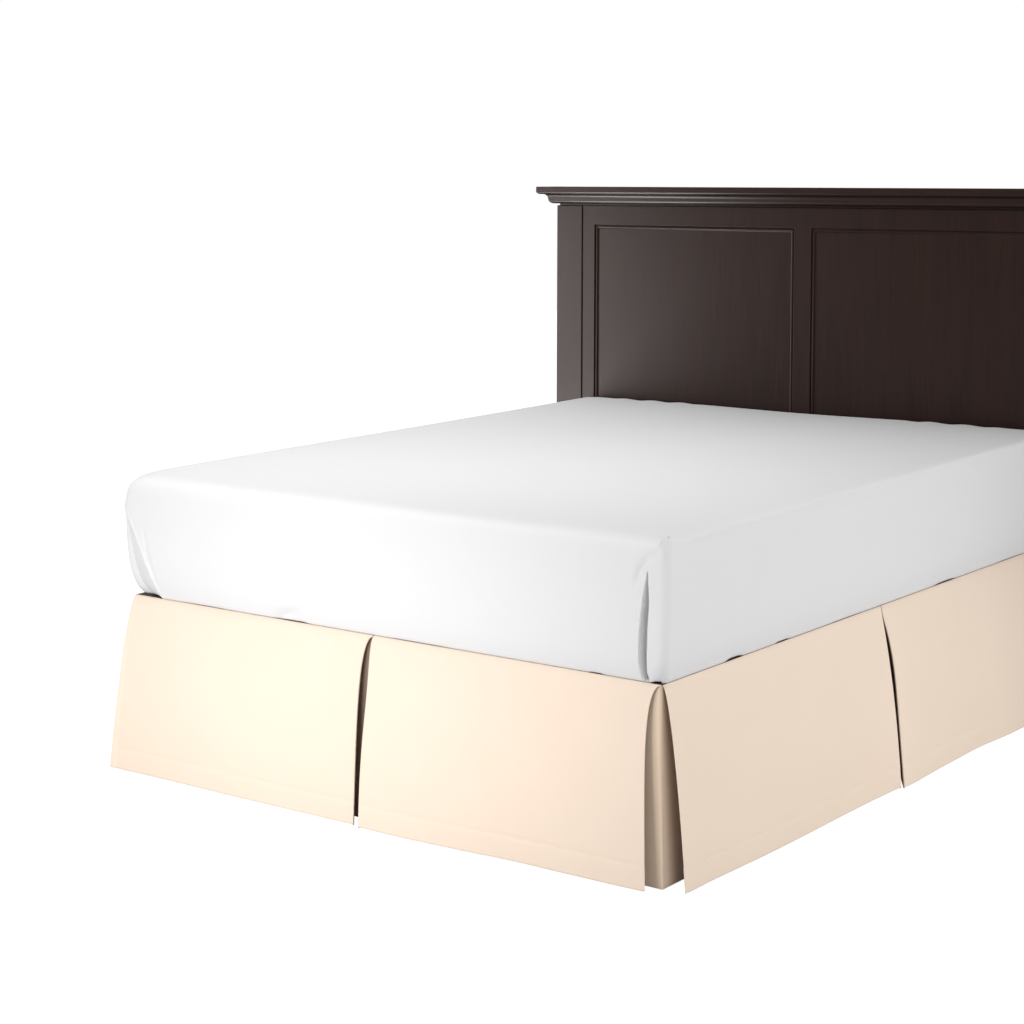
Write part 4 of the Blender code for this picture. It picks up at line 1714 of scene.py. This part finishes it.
# A dimple where the lower edge is tucked in, the near corner's soft turn, and the fold
# beside the far corner's flap.
DIMPLE = ((-0.290, 0.4280), (-0.250, 0.4400), (-0.222, 0.4520))
CORNER_TURN = ((-1.012, 0.690), (-1.014, 0.560), (-1.012, 0.435))
FLAP_FOLD = ((-0.7120, 0.6100), (-0.7060, 0.5506), (-0.6960, 0.5100), (-0.6700, 0.4400))
MATTRESS_CREASES = (
    NEAR_CORNER_TUCK,
    Crease(Face.FOOT, HOOK, 6.0, 0.0075, 0.0045, 0.35),
    Crease(Face.RIGHT, SIDE_RIDGE, -8.0, 0.010, 0.010, 0.15),
    Crease(Face.RIGHT, SIDE_TROUGH, 1.5, 0.009, 0.009, 0.15),
    Crease(Face.FOOT, FOOT_RIDGE, -2.0, 0.012, 0.012, 0.5),
    Crease(Face.FOOT, DIMPLE, 8.0, 0.014, 0.009, 0.4),
    Crease(Face.RIGHT, CORNER_TURN, 1.4, 0.008, 0.008),
    FAR_CORNER_FLAP,
    Crease(Face.FOOT, FLAP_FOLD, 2.0, 0.009, 0.004),
)
# Each lift's middle along its side, its half width and its height in millimetres.
FOOT_LIFTS = (
    (0.757, 0.030, 4.5), (0.600, 0.025, 2.0), (0.130, 0.110, 0.9), (-0.235, 0.052, 2.4),
    (-0.520, 0.090, 0.8), (-0.713, 0.045, 4.2),
)
SIDE_LIFTS = (
    (-1.030, 0.018, 4.5), (-0.722, 0.045, 4.5), (-0.505, 0.040, 2.5), (-0.200, 0.110, 0.7),
    (0.360, 0.080, 3.0), (0.780, 0.100, 0.8),
)
MATTRESS_LIFTS = (
    *[Lift(Face.FOOT, *lift) for lift in FOOT_LIFTS],
    *[Lift(Face.RIGHT, *lift) for lift in SIDE_LIFTS],
)
LIGHTS = (
    Softbox("foot_left", (-0.75, -2.3, 0.45), (-0.75, 0, 0.45), (0.4, 0.4), 5.75),
    Softbox("foot_middle", (-0.25, -2.2, 0.45), (-0.25, 0, 0.45), (0.4, 0.4), 5.3),
    Softbox("foot_right", (0.30, -2.2, 0.45), (0.30, 0, 0.45), (0.4, 0.4), 5.3),
    Softbox("top_left", (-0.7, -1.1, 1.95), (-0.7, -1.1, 0.7), (0.6, 0.6), 4.5),
    Softbox("top_middle", (0.0, -0.6, 2.4), (0.0, -0.6, 0.7), (1.0, 1.0), 14.4),
    Softbox("top_far", (-1.6, 0.7, 1.9), (0.2, 0.2, 0.7), (0.8, 0.8), 6.6),
    Softbox("corner_fill", (2.2, -1.6, 0.6), (0.8, -0.9, 0.4), (1.3, 1.1), 9.9),
    Softbox("side_fill", (2.7, 0.2, 0.35), (0.8, 0.2, 0.4), (0.6, 0.6), 16.9),
    Softbox("board_glow", (-2.35, -0.75, 0.75), (-0.85, 1.0, 0.95), (0.8, 1.5), 38.0, True),
    Softbox("crown_glow", (-1.45, 0.25, 0.15), (-0.60, 0.97, 1.38), (0.8, 0.4), 38.0, True),
)


def main() -> None:
    """Builds the bed and its studio, piece by piece."""
    logging.basicConfig(level=logging.INFO, format="%(message)s")
    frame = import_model()
    Studio(LIGHTS).build()
    finishes = Finishes.build()
    SteelFrame(finishes).build(frame["nodes"])
    Foundation(finishes).build()
    DeckSheet(finishes).build()
    foot = (FOOT_LEFT, FOOT_RIGHT, 0.036, (1.82, 0.43))
    SkirtDrop(finishes, "foot_drop", Placement.FOOT, *foot).build()
    for edge in (Placement.LEFT, Placement.RIGHT):
        side = (SIDE_NEAR, SIDE_FAR, 0.042, (2.33, 0.43), 0.026)
        SkirtDrop(finishes, f"side_drop_{edge.value}", edge, *side).build()
    for side in (-1, 1):
        CornerUnderlay(finishes, side).build()
    FittedMattress(finishes, MATTRESS_RINGS, MATTRESS_CREASES, MATTRESS_LIFTS).build()
    Headboard(finishes).build(frame["nodes"])


if __name__ == "__main__":
    main()
